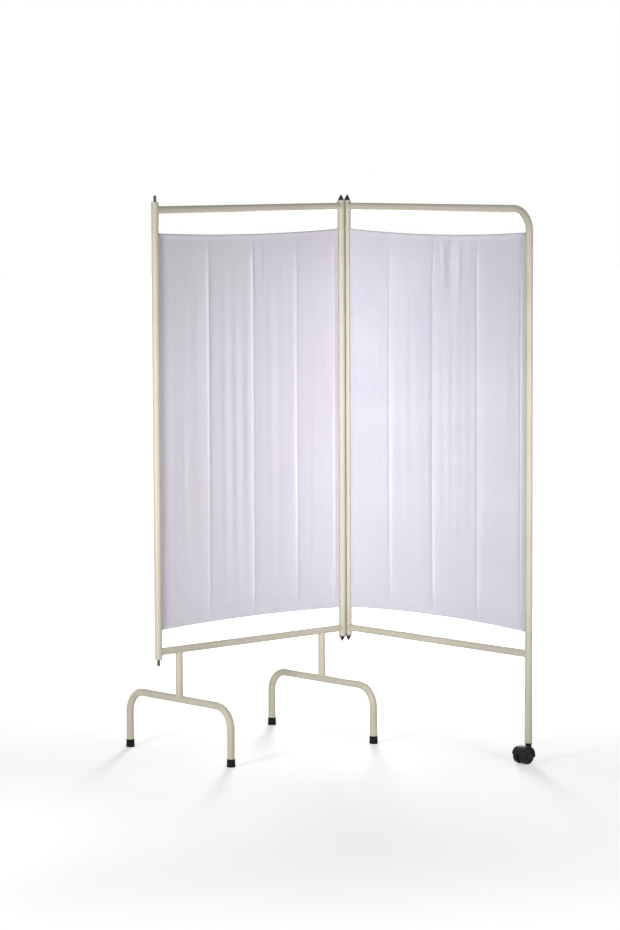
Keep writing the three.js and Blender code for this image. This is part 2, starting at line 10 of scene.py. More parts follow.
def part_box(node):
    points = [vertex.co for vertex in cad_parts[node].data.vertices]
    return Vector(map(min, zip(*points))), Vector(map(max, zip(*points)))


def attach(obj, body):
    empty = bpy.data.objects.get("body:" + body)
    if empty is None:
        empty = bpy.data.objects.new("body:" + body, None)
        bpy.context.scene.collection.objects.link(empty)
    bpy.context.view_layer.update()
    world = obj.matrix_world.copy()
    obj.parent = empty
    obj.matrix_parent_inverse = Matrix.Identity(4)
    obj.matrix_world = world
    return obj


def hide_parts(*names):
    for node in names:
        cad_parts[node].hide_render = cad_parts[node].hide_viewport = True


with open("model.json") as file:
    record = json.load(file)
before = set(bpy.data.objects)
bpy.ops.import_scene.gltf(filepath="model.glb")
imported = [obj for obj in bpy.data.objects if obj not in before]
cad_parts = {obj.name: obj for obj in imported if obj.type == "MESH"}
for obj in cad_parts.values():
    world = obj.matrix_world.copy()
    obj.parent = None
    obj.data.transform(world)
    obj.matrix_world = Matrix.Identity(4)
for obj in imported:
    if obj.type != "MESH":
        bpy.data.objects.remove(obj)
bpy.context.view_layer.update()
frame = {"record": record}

# The camera stands about ten metres off and looks through a long lens into the open corner between
# the two panels, from a little above their tops.
def into_scene(name, data):
    made = bpy.data.objects.new(name, data)
    bpy.context.scene.collection.objects.link(made)
    return made


camera_data = bpy.data.cameras.new("camera")
camera_data.sensor_width = 36
camera_data.lens = 131.98
camera = into_scene("camera", camera_data)
camera.location = (-6.81627, -7.51685, 1.83566)
camera_target = Vector((-0.00924, 0.01929, 0.88124))
camera_roll = math.radians(-0.236)
look = (camera_target - camera.location).to_track_quat("-Z", "Y")
camera.rotation_mode = "QUATERNION"
camera.rotation_quaternion = look @ Quaternion((0, 0, 1), camera_roll)
bpy.context.scene.camera = camera
bpy.context.scene.view_settings.view_transform = "Standard"


# The studio is a pale floor in a plain white room. Two soft boxes stand at chest height on either side
# of the camera, each square to one panel, so it skims across the other. A third stands behind.
def add_node(tree, kind, inputs=(), **settings):
    made = tree.nodes.new("ShaderNode" + kind)
    for setting, value in settings.items():
        setattr(made, setting, value)
    for socket, value in dict(inputs).items():
        if isinstance(value, bpy.types.NodeSocket):
            tree.links.new(value, made.inputs[socket])
        else:
            made.inputs[socket].default_value = value
    return made


def math_node(tree, operation, *values):
    return add_node(tree, "Math", dict(enumerate(values)), operation=operation).outputs[0]


def new_material(name, roughness, metallic=0.0, specular=0.5):
    made = bpy.data.materials.new(name)
    made.use_nodes = True
    shader = made.node_tree.nodes["Principled BSDF"]
    shader.inputs["Roughness"].default_value = roughness
    shader.inputs["Metallic"].default_value = metallic
    shader.inputs["Specular IOR Level"].default_value = specular
    return made, made.node_tree, shader.inputs


def shown_directly(tree):
    path = add_node(tree, "LightPath").outputs
    seen = math_node(tree, "MAXIMUM", path["Is Camera Ray"], path["Is Glossy Ray"])
    return math_node(tree, "MAXIMUM", seen, path["Is Transmission Ray"])


room_light = 0.18
room = bpy.data.worlds.new("room")
room.use_nodes = True
room_tree = room.node_tree
room_tree.nodes.clear()
soft_fill = add_node(room_tree, "Background", {"Color": (1, 1, 1, 1), "Strength": room_light})
white_wall = add_node(room_tree, "Background", {"Color": (1, 1, 1, 1), "Strength": 1})
room_mix = add_node(
    room_tree,
    "MixShader",
    {0: shown_directly(room_tree), 1: soft_fill.outputs[0], 2: white_wall.outputs[0]},
)
add_node(room_tree, "OutputWorld", {"Surface": room_mix.outputs[0]})
bpy.context.scene.world = room

floor_reach = 30
floor_mesh = bpy.data.meshes.new("floor")
floor_corners = [(x * floor_reach, y * floor_reach, 0) for x, y in ((-1, -1), (1, -1), (1, 1), (-1, 1))]
floor_mesh.from_pydata(floor_corners, [], [(0, 1, 2, 3)])
floor = into_scene("floor", floor_mesh)

floor_paint, floor_tree, floor_finish = new_material("floor paint", 0.9, specular=0.1)
floor_place = add_node(floor_tree, "TexCoord").outputs["Object"]
floor_distance = add_node(floor_tree, "VectorMath", {0: floor_place}, operation="LENGTH").outputs["Value"]
floor_glow = add_node(
    floor_tree,
    "MapRange",
    {"Value": floor_distance, "From Min": 0.5, "From Max": 3.0, "To Min": 0.38, "To Max": 0.95},
).outputs[0]
floor_finish["Base Color"].default_value = (0.9, 0.9, 0.9, 1)
floor_finish["Emission Color"].default_value = (1, 1, 1, 1)
floor_strength = math_node(floor_tree, "MULTIPLY", floor_glow, shown_directly(floor_tree))
floor_tree.links.new(floor_strength, floor_finish["Emission Strength"])
floor_mesh.materials.append(floor_paint)

lamp_distance = 3.4
lamp_height = 0.95
lamp_width = 0.6
lamp_tall = 1.2
hinge_middle = Vector((0.37, 0.28, 0.95))
for name, azimuth, spread, power in (
    ("left soft box", 76, 70, 11.1),
    ("right soft box", 13, 50, 5.2),
    ("back soft box", 222, 110, 46),
):
    lamp = bpy.data.lights.new(name, "AREA")
    lamp.shape = "RECTANGLE"
    lamp.size = lamp_width
    lamp.size_y = lamp_tall
    lamp.spread = math.radians(spread)
    lamp.energy = power
    stand = into_scene(name, lamp)
    turn = math.radians(azimuth)
    stand.location = hinge_middle - lamp_distance * Vector((math.sin(turn), math.cos(turn), 0))
    stand.location.z = lamp_height
    stand.rotation_euler = (hinge_middle - stand.location).to_track_quat("-Z", "Y").to_euler()


# The finish on every tube is cream powder coat baked on steel: a hard, half-gloss skin with a fine
# orange peel, rubbed a little where hands and bed frames meet it and dusty on what faces up.
def effect_group(name, inputs, outputs):
    tree = bpy.data.node_groups.new(name, "ShaderNodeTree")
    for label, value in inputs.items():
        kind = "NodeSocketVector" if isinstance(value, tuple) else "NodeSocketFloat"
        tree.interface.new_socket(label, in_out="INPUT", socket_type=kind).default_value = value
    for label in outputs:
        tree.interface.new_socket(label, in_out="OUTPUT", socket_type="NodeSocketFloat")
    entry = tree.nodes.new("NodeGroupInput").outputs
    leave = tree.nodes.new("NodeGroupOutput").inputs
    return tree, entry, leave


def noise(tree, place, scale, detail=2.0, roughness=0.5):
    inputs = {"Vector": place, "Scale": scale, "Detail": detail, "Roughness": roughness}
    return add_node(tree, "TexNoise", inputs).outputs["Fac"]


def ramp(tree, value, low, high, out_low=0.0, out_high=1.0):
    inputs = {"Value": value, "From Min": low, "From Max": high, "To Min": out_low, "To Max": out_high}
    return add_node(tree, "MapRange", inputs).outputs[0]


def stretched(tree, place, scale):
    return add_node(tree, "Mapping", {"Vector": place, "Scale": scale}).outputs[0]


orange_peel, peel_in, peel_out = effect_group("orange peel", {"Scale": 700.0}, ["Height", "Tone"])
peel_place = add_node(orange_peel, "TexCoord").outputs["Object"]
orange_peel.links.new(noise(orange_peel, peel_place, peel_in["Scale"], 1.0), peel_out["Height"])
orange_peel.links.new(noise(orange_peel, peel_place, 7.0, 3.0), peel_out["Tone"])

scuffs, scuff_in, scuff_out = effect_group("scuffs", {"Amount": 0.3, "Scale": 60.0}, ["Mask"])
scuff_place = add_node(scuffs, "TexCoord").outputs["Object"]
scuff_lines = noise(scuffs, scuff_place, scuff_in["Scale"], 6.0, 0.75)
scuff_patches = ramp(scuffs, noise(scuffs, scuff_place, 11.0, 2.0), 0.5, 0.72)
scuff_edge = math_node(scuffs, "SUBTRACT", 0.78, math_node(scuffs, "MULTIPLY", scuff_in["Amount"], 0.2))
scuff_hits = math_node(scuffs, "GREATER_THAN", scuff_lines, scuff_edge)
scuffs.links.new(math_node(scuffs, "MULTIPLY", scuff_hits, scuff_patches), scuff_out["Mask"])

dust, dust_in, dust_out = effect_group("settled dust", {"Amount": 0.4}, ["Mask"])
dust_up = add_node(dust, "SeparateXYZ", {0: add_node(dust, "NewGeometry").outputs["Normal"]}).outputs["Z"]
dust_flat = math_node(dust, "POWER", math_node(dust, "MAXIMUM", dust_up, 0.0), 3.0)
dust_specks = noise(dust, add_node(dust, "TexCoord").outputs["Object"], 240.0, 5.0, 0.7)
dust_cover = math_node(dust, "MULTIPLY", dust_flat, ramp(dust, dust_specks, 0.3, 0.75))
dust.links.new(math_node(dust, "MULTIPLY", dust_cover, dust_in["Amount"]), dust_out["Mask"])


def use_group(tree, group, inputs=()):
    return add_node(tree, "Group", inputs, node_tree=group).outputs


def mixed(tree, share, first, second):
    inputs = {0: share, 6: first, 7: second}
    return add_node(tree, "Mix", inputs, data_type="RGBA").outputs[2]


def bump(tree, shader, height, distance, strength=1.0):
    inputs = {"Height": height, "Distance": distance, "Strength": strength}
    tree.links.new(add_node(tree, "Bump", inputs).outputs[0], shader["Normal"])


dust_grey = (0.55, 0.53, 0.5, 1)


def worn_finish(name, tones, blend, peel, relief, scuffed, rubbed, gloss, dusted=0.0, dulled=False, **shine):
    """A skin of orange peel in two tones, rubbed towards another colour and then dusted. Blend and gloss
    are the ranges of the tones and of the roughness, scuffed the amount, scale and share of the rubbing."""
    made, tree, shader = new_material(name, **shine)
    skin = use_group(tree, orange_peel, {"Scale": peel})
    amount, scale, share = scuffed
    scuff_mask = use_group(tree, scuffs, {"Amount": amount, "Scale": scale})["Mask"]
    tone = mixed(tree, ramp(tree, skin["Tone"], *blend), *tones)
    tone = mixed(tree, math_node(tree, "MULTIPLY", scuff_mask, share), tone, rubbed)
    rough = ramp(tree, skin["Tone"], 0.2, 0.8, *gloss)
    if dusted:
        dust_mask = use_group(tree, dust, {"Amount": dusted})["Mask"]
        tone = mixed(tree, dust_mask, tone, dust_grey)
        if dulled:
            rough = math_node(tree, "ADD", rough, dust_mask)
    tree.links.new(tone, shader["Base Color"])
    tree.links.new(rough, shader["Roughness"])
    bump(tree, shader, skin["Height"], relief)
    return made


cream = (0.615, 0.58, 0.47, 1)
cream_deep = (0.56, 0.52, 0.41, 1)
primer_grey = (0.27, 0.25, 0.22, 1)
cream_paint = worn_finish(
    "cream powder coat", (cream, cream_deep), blend=(0.3, 0.75), peel=520.0, relief=0.00003,
    scuffed=(0.25, 60.0, 0.3), rubbed=primer_grey, gloss=(0.34, 0.46), dusted=0.3, dulled=True,
    roughness=0.4, specular=0.45,
)

body_of_node = {
    node: body
    for body, members in frame["record"]["behaviour"]["bodies"].items()
    for node in members
}


def add_detail(name, mesh, material, node):
    """A small piece that has no solid of its own and rides with a node that has one."""
    piece = into_scene(name, mesh)
    mesh.materials.append(material)
    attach(piece, body_of_node[node])
    return piece


def add_piece(name, mesh, material, node):
    """A piece that stands in for the solid of its node."""
    piece = add_detail(name, mesh, material, node)
    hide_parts(node)
    return piece


def smooth_mesh(name, points, faces, sharp=35):
    form = bmesh.new()
    corners = [form.verts.new(point) for point in points]
    for face in faces:
        form.faces.new([corners[index] for index in face])
    return finish_mesh(name, form, sharp)


def finish_mesh(name, form, sharp=35):
    bmesh.ops.recalc_face_normals(form, faces=form.faces)
    mesh = bpy.data.meshes.new(name)
    form.to_mesh(mesh)
    form.free()
    mesh.shade_smooth()
    mesh.set_sharp_from_angle(angle=math.radians(sharp))
    return mesh


def grid_faces(rows, columns, wrap_rows=False, wrap_columns=False):
    last_row = rows if wrap_rows else rows - 1
    last_column = columns if wrap_columns else columns - 1
    return [
        (
            row * columns + column,
            row * columns + (column + 1) % columns,
            (row + 1) % rows * columns + (column + 1) % columns,
            (row + 1) % rows * columns + column,
        )
        for row in range(last_row)
        for column in range(last_column)
    ]


# Each upright is a straight length of round steel tube that stands past both rails. Its wall is drilled
# near the top and the bottom of the cloth for the wire hooks that hold the curtain.
across_x = np.array((1.0, 0.0, 0.0))
across_y = np.array((0.0, 1.0, 0.0))
upward = np.array((0.0, 0.0, 1.0))
upward_vector = Vector(upward)
tube_sides = 56
tube_wall = 0.0012
hook_radius = 0.001
hook_hole_radius = 0.0013
hook_hole_sides = 24
hole_margin = 0.006
ends = {"top": 1, "bottom": -1}


def middle_of(node):
    low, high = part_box(node)
    return np.array((low + high) / 2)


def end_height(node, sense):
    """The top of a node for a sense of 1, and its bottom for a sense of -1."""
    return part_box(node)[1 if sense > 0 else 0].z


def radius_of(node):
    low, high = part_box(node)
    return (high.x - low.x) / 2


def at_height(axis, height):
    return np.array((axis[0], axis[1], height))


tube_radius = radius_of("footed_hinge_upright")
tube_bore = tube_radius - tube_wall
footed_hinge = middle_of("footed_hinge_upright")
wing_hinge = middle_of("wing_hinge_upright")
free_upright = middle_of("footed_outer_upright")


def tube_mesh(name, stations, normal, reach_start=None, reach_end=None):
    """A tube along stations of (centre, direction) that lie in the plane square to normal. A reach is the
    sideways axis of a saddle: that end starts on the skin of the tube that crosses it."""
    turns = np.linspace(0, 2 * math.pi, tube_sides, endpoint=False)

    def ring(index, radius):
        centre, direction = stations[index]
        side = np.cross(direction, normal)
        offsets = radius * (np.outer(np.cos(turns), normal) + np.outer(np.sin(turns), side))
        points = centre + offsets
        for end, reach, sense in ((0, reach_start, 1), (len(stations) - 1, reach_end, -1)):
            if index == end and reach is not None:
                depth = np.sqrt(np.maximum(tube_radius**2 - (offsets @ reach) ** 2, 0))
                points = points + np.outer(sense * depth, direction)
        return points

    order = list(range(len(stations)))
    rings = [ring(index, tube_radius) for index in order]
    rings += [ring(index, tube_bore) for index in reversed(order)]
    faces = grid_faces(len(rings), tube_sides, wrap_rows=True, wrap_columns=True)
    return smooth_mesh(name, np.concatenate(rings), faces)


def add_tube(node, stations, normal, **reach):
    mesh = tube_mesh(node, stations, normal, **reach)
    return add_piece(node + "_tube", mesh, cream_paint, node)


def straight(start, end, marks=()):
    """The stations of a straight run, with extra ones beside each marked distance from its start."""
    length = np.linalg.norm(end - start)
    direction = (end - start) / length
    near = [mark + side for mark in marks for side in (-hole_margin, hole_margin)]
    return [(start + direction * distance, direction) for distance in sorted([0.0, length, *near])]


def drill_hook_holes(piece, places, direction):
    """Bores a hook hole through the near wall of a tube at each place, along direction."""
    for place in places:
        form = bmesh.new()
        bmesh.ops.create_cone(
            form, cap_ends=True, segments=hook_hole_sides, radius1=hook_hole_radius,
            radius2=hook_hole_radius, depth=tube_radius,
        )
        cutter = into_scene("cutter", bpy.data.meshes.new("cutter"))
        form.to_mesh(cutter.data)
        form.free()
        turn = upward_vector.rotation_difference(Vector(direction))
        cutter.matrix_world = Matrix.Translation(place) @ turn.to_matrix().to_4x4()
        combine(piece, cutter, "DIFFERENCE")


def combine(piece, other, operation):
    """Cuts another closed form out of a piece or fuses it on."""
    change = piece.modifiers.new("change", "BOOLEAN")
    change.operation = operation
    change.solver = "EXACT"
    change.object = other
    apply_modifiers(piece)
    bpy.data.objects.remove(other)


def apply_modifiers(piece):
    bpy.context.view_layer.update()
    shaped = piece.evaluated_get(bpy.context.evaluated_depsgraph_get())
    mesh = bpy.data.meshes.new_from_object(shaped)
    piece.modifiers.clear()
    piece.data = mesh


def hook_heights(panel):
    """The heights at which the hooks of a panel pass into its uprights."""
    return [
        end_height(f"{panel}_{end}_inner_hook", -sense) + sense * hook_radius
        for end, sense in ends.items()
    ]


for node, axis, panel, facing in (
    ("footed_hinge_upright", footed_hinge, "footed", -across_x),
    ("footed_outer_upright", free_upright, "footed", across_x),
    ("wing_hinge_upright", wing_hinge, "wing", -across_y),
):
    holes = hook_heights(panel)
    foot, head = end_height(node, -1), end_height(node, 1)
    run = straight(at_height(axis, foot), at_height(axis, head), [z - foot for z in holes])
    upright = add_tube(node, run, across_x)
    drill_hook_holes(upright, [at_height(axis + facing * tube_radius, z) for z in holes], facing)

# The rails and the drop posts are the same tube cut to length, with both ends coped to a saddle so
# that they seat on the round of the tube that they are welded to.
for node in ("footed_top_rail", "footed_bottom_rail"):
    height = middle_of(node)[2]
    run = straight(at_height(free_upright, height), at_height(footed_hinge, height))
    add_tube(node, run, upward, reach_start=across_y, reach_end=across_y)

footed_rail_height = middle_of("footed_bottom_rail")[2]
foot_bar_height = end_height("outer_foot_bow", 1) - tube_radius
for node in ("outer_drop_post", "hinge_drop_post"):
    axis = middle_of(node)
    run = straight(at_height(axis, foot_bar_height), at_height(axis, footed_rail_height))
    add_tube(node, run, across_x, reach_start=across_x, reach_end=across_y)

wing_rail_height = middle_of("wing_bottom_rail")[2]
leg_axis = middle_of("caster_socket")
run = straight(at_height(leg_axis, wing_rail_height), at_height(wing_hinge, wing_rail_height))
add_tube("wing_bottom_rail", run, upward, reach_start=across_x, reach_end=across_x)

# The foot bows and the wing's bow are cold bent on a former, so their bends keep one radius. The wing's
# top rail, round corner and leg are one unbroken tube.
bend_radius = 0.065
bend_steps = 28


def bend(corner, arriving, leaving):
    """The stations of a quarter bend that would otherwise meet at corner."""
    stations = []
    for turn in np.linspace(0, math.pi / 2, bend_steps + 1):
        back = arriving * (math.sin(turn) - 1) + leaving * (1 - math.cos(turn))
        direction = arriving * math.cos(turn) + leaving * math.sin(turn)
        stations.append((corner + bend_radius * back, direction))
    return stations


for node in ("outer_foot_bow", "hinge_foot_bow"):
    low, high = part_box(node)
    axis = middle_of(node)
    near = np.array((axis[0], low.y + tube_radius, low.z))
    far = np.array((axis[0], high.y - tube_radius, low.z))
    stations = [
        (near, upward),
        *bend(at_height(near, foot_bar_height), upward, across_y),
        *bend(at_height(far, foot_bar_height), across_y, -upward),
        (far, -upward),
    ]
    add_tube(node, stations, across_x)

wing_top_height = end_height("wing_bow", 1) - tube_radius
leg_end = end_height("wing_bow", -1)
leg_holes = hook_heights("wing")
leg_marks = [z + side for z in leg_holes for side in (hole_margin, -hole_margin)]
stations = [
    (at_height(wing_hinge, wing_top_height), -across_y),
    *bend(at_height(leg_axis, wing_top_height), -across_y, -upward),
    *[(at_height(leg_axis, z), -upward) for z in (*leg_marks, leg_end)],
]
wing_bow = add_tube("wing_bow", stations, across_x, reach_start=across_x)
leg_skin = leg_axis + tube_radius * across_y
drill_hook_holes(wing_bow, [at_height(leg_skin, z) for z in leg_holes], across_y)

# Every joint of the frame is closed by a run of weld all the way round the saddle, laid in short
# overlapping steps and painted over with the tubes. Front and back the beads are dressed down to a
# quarter of their height, so that the folded panels lie 1.5 mm apart without rubbing.
bead_radius = 0.0021
bead_dressed = 0.25
bead_sides = 12
bead_ripples = 30
bead_stations = 8 * bead_ripples
bead_valley, bead_crown = 0.86, 0.18
bead_slow_drift, bead_quick_drift = 0.08, 0.06
bead_sharp = 80


def unit(rows):
    return rows / np.linalg.norm(rows, axis=1)[:, None]


def rings_round(centres, radii, out, up, sides):
    """Rings of points round a line of centres, each ring in the plane of its own out and up directions."""
    around = np.linspace(0, 2 * math.pi, sides, endpoint=False)[None, :, None]
    spokes = np.cos(around) * out[:, None] + np.sin(around) * up[:, None]
    return (centres[:, None] + np.reshape(radii, (-1, 1, 1)) * spokes).reshape(-1, 3)


def weld_bead(name, place, main, branch, node):
    """A bead round a branch tube that meets a main tube of the same size square on."""
    sideways = np.cross(main, branch)
    turns = np.linspace(0, 2 * math.pi, bead_stations, endpoint=False)[:, None]
    outward = np.cos(turns) * main + np.sin(turns) * sideways
    rise = np.abs(np.cos(turns))
    centres = place + tube_radius * (outward + rise * branch)
    step = unit(np.roll(centres, -1, axis=0) - np.roll(centres, 1, axis=0))
    corner = unit(outward + rise * branch + np.sin(turns) * sideways)
    corner = unit(corner - np.sum(corner * step, axis=1)[:, None] * step)
    lap = (turns * bead_ripples / (2 * math.pi)) % 1.0
    ripple = bead_valley + bead_crown * np.sqrt(np.maximum(1 - (2 * lap - 1) ** 2, 0))
    drift = bead_slow_drift * np.sin(3 * turns + place[2] * 40)
    drift = drift + bead_quick_drift * np.sin(5 * turns + place[0] * 30)
    radii = bead_radius * (ripple + drift)
    points = rings_round(centres, radii, corner, np.cross(step, corner), bead_sides)
    flank = (points - place) @ sideways
    proud = np.sign(flank) * np.maximum(np.abs(flank) - tube_radius, 0)
    points -= np.outer((1 - bead_dressed) * proud, sideways)
    faces = grid_faces(bead_stations, bead_sides, wrap_rows=True, wrap_columns=True)
    mesh = smooth_mesh(name, points, faces, bead_sharp)
    add_detail(name, mesh, cream_paint, node)


footed_top_height = middle_of("footed_top_rail")[2]
outer_post, hinge_post = middle_of("outer_drop_post"), middle_of("hinge_drop_post")
for name, axis, height, main, branch, node in (
    ("weld_outer_top", free_upright, footed_top_height, upward, across_x, "footed_top_rail"),
    ("weld_outer_bottom", free_upright, footed_rail_height, upward, across_x, "footed_top_rail"),
    ("weld_hinge_top", footed_hinge, footed_top_height, upward, -across_x, "footed_top_rail"),
    ("weld_hinge_bottom", footed_hinge, footed_rail_height, upward, -across_x, "footed_top_rail"),
    ("weld_outer_post_head", outer_post, footed_rail_height, across_x, -upward, "outer_drop_post"),
    ("weld_hinge_post_head", hinge_post, footed_rail_height, across_x, -upward, "hinge_drop_post"),
    ("weld_outer_post_foot", outer_post, foot_bar_height, across_y, upward, "outer_drop_post"),
    ("weld_hinge_post_foot", hinge_post, foot_bar_height, across_y, upward, "hinge_drop_post"),
    ("weld_wing_top", wing_hinge, wing_top_height, upward, -across_y, "wing_bow"),
    ("weld_wing_bottom", wing_hinge, wing_rail_height, upward, -across_y, "wing_bow"),
    ("weld_leg", leg_axis, wing_rail_height, upward, across_y, "wing_bow"),
):
    weld_bead(name, at_height(axis, height), main, branch, node)

# The four feet end in moulded black rubber tips, pushed on over the tube. Each has a beaded lip, a
# thick floor with a spread edge, and the bloom and scuffs that rubber gets from being dragged.
black_rubber_low = (0.004, 0.004, 0.0045, 1)
black_rubber_bloom = (0.014, 0.014, 0.013, 1)
black_rubber = worn_finish(
    "black rubber", (black_rubber_low, black_rubber_bloom), blend=(0.35, 0.8), peel=1500.0, relief=0.00008,
    scuffed=(0.8, 90.0, 0.3), rubbed=dust_grey, gloss=(0.58, 0.76), dusted=0.2, roughness=0.68, specular=0.15,
)


def turned_mesh(name, profile, place, sides=64, axis=(0, 0, 1), sharp=35):
    """A turned piece from its (radius, height) profile, standing at place along axis."""
    form = bmesh.new()
    corners = [form.verts.new((radius, 0, height)) for radius, height in profile]
    edges = [form.edges.new(pair) for pair in zip(corners, corners[1:])]
    bmesh.ops.spin(
        form, geom=corners + edges, cent=(0, 0, 0), axis=(0, 0, 1), angle=2 * math.pi, steps=sides
    )
    bmesh.ops.remove_doubles(form, verts=form.verts, dist=1e-6)
    turn = upward_vector.rotation_difference(Vector(axis)).to_matrix().to_4x4()
    bmesh.ops.transform(form, matrix=Matrix.Translation(place) @ turn, verts=form.verts)
    return finish_mesh(name, form, sharp)


def add_turned(node, kind, profile, place, material, slot, **shape):
    return add_piece(node + kind, turned_mesh(node, profile, place, **shape), material, node)


def ease_edges(piece, width, segments=3):
    """Rounds the hard edges of a piece, as moulding or deburring leaves them."""
    rounding = piece.modifiers.new("eased edges", "BEVEL")
    rounding.width = width
    rounding.segments = segments
    rounding.limit_method = "ANGLE"
    rounding.angle_limit = math.radians(35)
    rounding.harden_normals = True


tip_fit = 0.0003
tip_lip = 0.0006
tip_lip_height = 0.0016
tip_spread = 0.0007
tip_floor = 0.005
tip_sole_rim = 0.0045
tip_sole_recess = 0.0006
for leg in ("outer", "hinge"):
    for side in ("front", "back"):
        node = f"{leg}_{side}_rubber_tip"
        base = radius_of(node)
        bore = tube_radius + tip_fit
        rim = base - tip_spread
        top = end_height(node, 1)
        add_turned(node, "_moulding", [
            (0, tip_sole_recess),
            (base - tip_sole_rim, tip_sole_recess),
            (base - tip_sole_rim + tip_sole_recess, 0),
            (base - 0.0016, 0),
            (base - 0.0005, 0.0005),
            (base, 0.0017),
            (base, tip_floor),
            (base - 0.0003, tip_floor + 0.0012),
            (rim - 0.0001, top - 1.8 * tip_lip_height),
            (rim + tip_lip - 0.0001, top - 1.3 * tip_lip_height),
            (rim + tip_lip, top - 0.7 * tip_lip_height),
            (rim + 0.0002, top - 0.0002),
            (bore + 0.0005, top),
            (bore, top - 0.0004),
            (bore, tip_floor),
            (0, tip_floor),
        ], at_height(middle_of(node), 0), black_rubber, "black_rubber", sharp=50)

# Each end of an upright is closed by a turned and zinc plated steel plug with a flange. The plug holds
# a pin of dark oiled steel, pressed in, which stays bare where no other panel hangs on it.
zinc_pale = (0.5, 0.465, 0.45, 1)
zinc_dull = (0.3, 0.285, 0.28, 1)
zinc_steel = worn_finish(
    "zinc plated steel", (zinc_pale, zinc_dull), blend=(0.3, 0.75), peel=300.0, relief=0.00004,
    scuffed=(0.6, 160.0, 1.0), rubbed=zinc_dull, gloss=(0.32, 0.5), roughness=0.45, metallic=0.7,
)

oiled_dark = (0.06, 0.06, 0.06, 1)
oiled_brown = (0.13, 0.12, 0.11, 1)
pin_steel = worn_finish(
    "dark oiled steel", (oiled_dark, oiled_brown), blend=(0.3, 0.75), peel=420.0, relief=0.00004,
    scuffed=(0.8, 150.0, 0.5), rubbed=zinc_dull, gloss=(0.4, 0.62),
    roughness=0.5, metallic=0.35, specular=0.4,
)

plug_depth = 0.018
plug_flange = 0.0012
plug_floor = 0.004
plug_fit = 0.0003
plug_edge = 0.0003
pin_seat = plug_floor - plug_depth
pin_chamfer = 0.0005
for label, upright, kind in (
    ("footed", "footed_hinge_upright", "pivot_pin"),
    ("wing", "wing_hinge_upright", "pivot_pin"),
    ("free", "footed_outer_upright", "pin"),
):
    for end, sense in ends.items():
        place = at_height(middle_of(upright), end_height(upright, sense))
        pin_node = f"{label}_{end}_{kind}"
        pin_radius = radius_of(pin_node)
        pin_reach = abs(end_height(pin_node, sense) - place[2])
        bore = pin_radius + plug_fit
        shank = tube_bore - plug_fit
        plug = add_turned(f"{label}_{end}_plug", "_turning", [
            (0, -plug_depth),
            (shank, -plug_depth),
            (shank, plug_fit),
            (tube_radius, plug_fit),
            (tube_radius, plug_fit + plug_flange),
            (bore, plug_fit + plug_flange),
            (bore, pin_seat),
            (0, pin_seat),
        ], place, zinc_steel, "zinc_steel", axis=(0, 0, sense))
        ease_edges(plug, plug_edge)
        nose = 0.28 * pin_radius
        add_turned(pin_node, "_rod", [
            (0, pin_seat + plug_fit),
            (pin_radius - pin_chamfer, pin_seat + plug_fit),
            (pin_radius, pin_seat + plug_fit + pin_chamfer),
            (pin_radius, pin_reach - 1.6 * nose),
            (pin_radius - 0.3 * nose, pin_reach - 0.7 * nose),
            (pin_radius - nose, pin_reach - 0.15 * nose),
            (pin_radius - 1.8 * nose, pin_reach),
            (0, pin_reach),
        ], place, pin_steel, "zinc_steel", sides=40, axis=(0, 0, sense))

# Two flat steel link plates, one over the top plugs and one under the bottom ones, join the panels.
# Each turns on a pivot pin of either panel, so the screen folds flat both ways.
link_edge = 0.0005
link_end_steps = 33
link_bore_sides = 40
pin_hole = radius_of("footed_top_pivot_pin") + plug_fit


def closed_loop(form, points):
    corners = [form.verts.new(point) for point in points]
    return [form.edges.new(pair) for pair in zip(corners, corners[1:] + corners[:1])]


def arc(centre, radius, turns):
    return [centre + radius * np.array((math.cos(turn), math.sin(turn), 0)) for turn in turns]


for end in ends:
    node = f"{end}_hinge_link"
    low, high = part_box(node)
    inner, outer = (at_height(axis, low.z) for axis in (footed_hinge, wing_hinge))
    run_angle = math.atan2(outer[1] - inner[1], outer[0] - inner[0])
    half_turn = np.linspace(0, math.pi, link_end_steps) + run_angle + math.pi / 2
    form = bmesh.new()
    outline = arc(inner, tube_radius, half_turn) + arc(outer, tube_radius, half_turn - math.pi)
    edges = closed_loop(form, outline)
    for pivot in (inner, outer):
        turns = np.linspace(0, 2 * math.pi, link_bore_sides, endpoint=False)
        edges += closed_loop(form, arc(pivot, pin_hole, turns))
    bmesh.ops.triangle_fill(form, use_beauty=True, edges=edges)
    thick = bmesh.ops.extrude_face_region(form, geom=form.faces[:])
    raised = [part for part in thick["geom"] if isinstance(part, bmesh.types.BMVert)]
    bmesh.ops.translate(form, vec=(0, 0, high.z - low.z), verts=raised)
    link = add_piece(node + "_plate", finish_mesh(node, form), zinc_steel, node)
    ease_edges(link, link_edge, 2)

# A pointed cap of hard black plastic is pressed over the head of each pivot pin and keeps the link on.
black_low = (0.003, 0.0032, 0.0032, 1)
black_faded = (0.009, 0.0095, 0.009, 1)
black_plastic = worn_finish(
    "black plastic", (black_low, black_faded), blend=(0.35, 0.8), peel=1100.0, relief=0.00005,
    scuffed=(0.7, 120.0, 0.2), rubbed=dust_grey, gloss=(0.3, 0.48), dusted=0.12, roughness=0.36, specular=0.2,
)

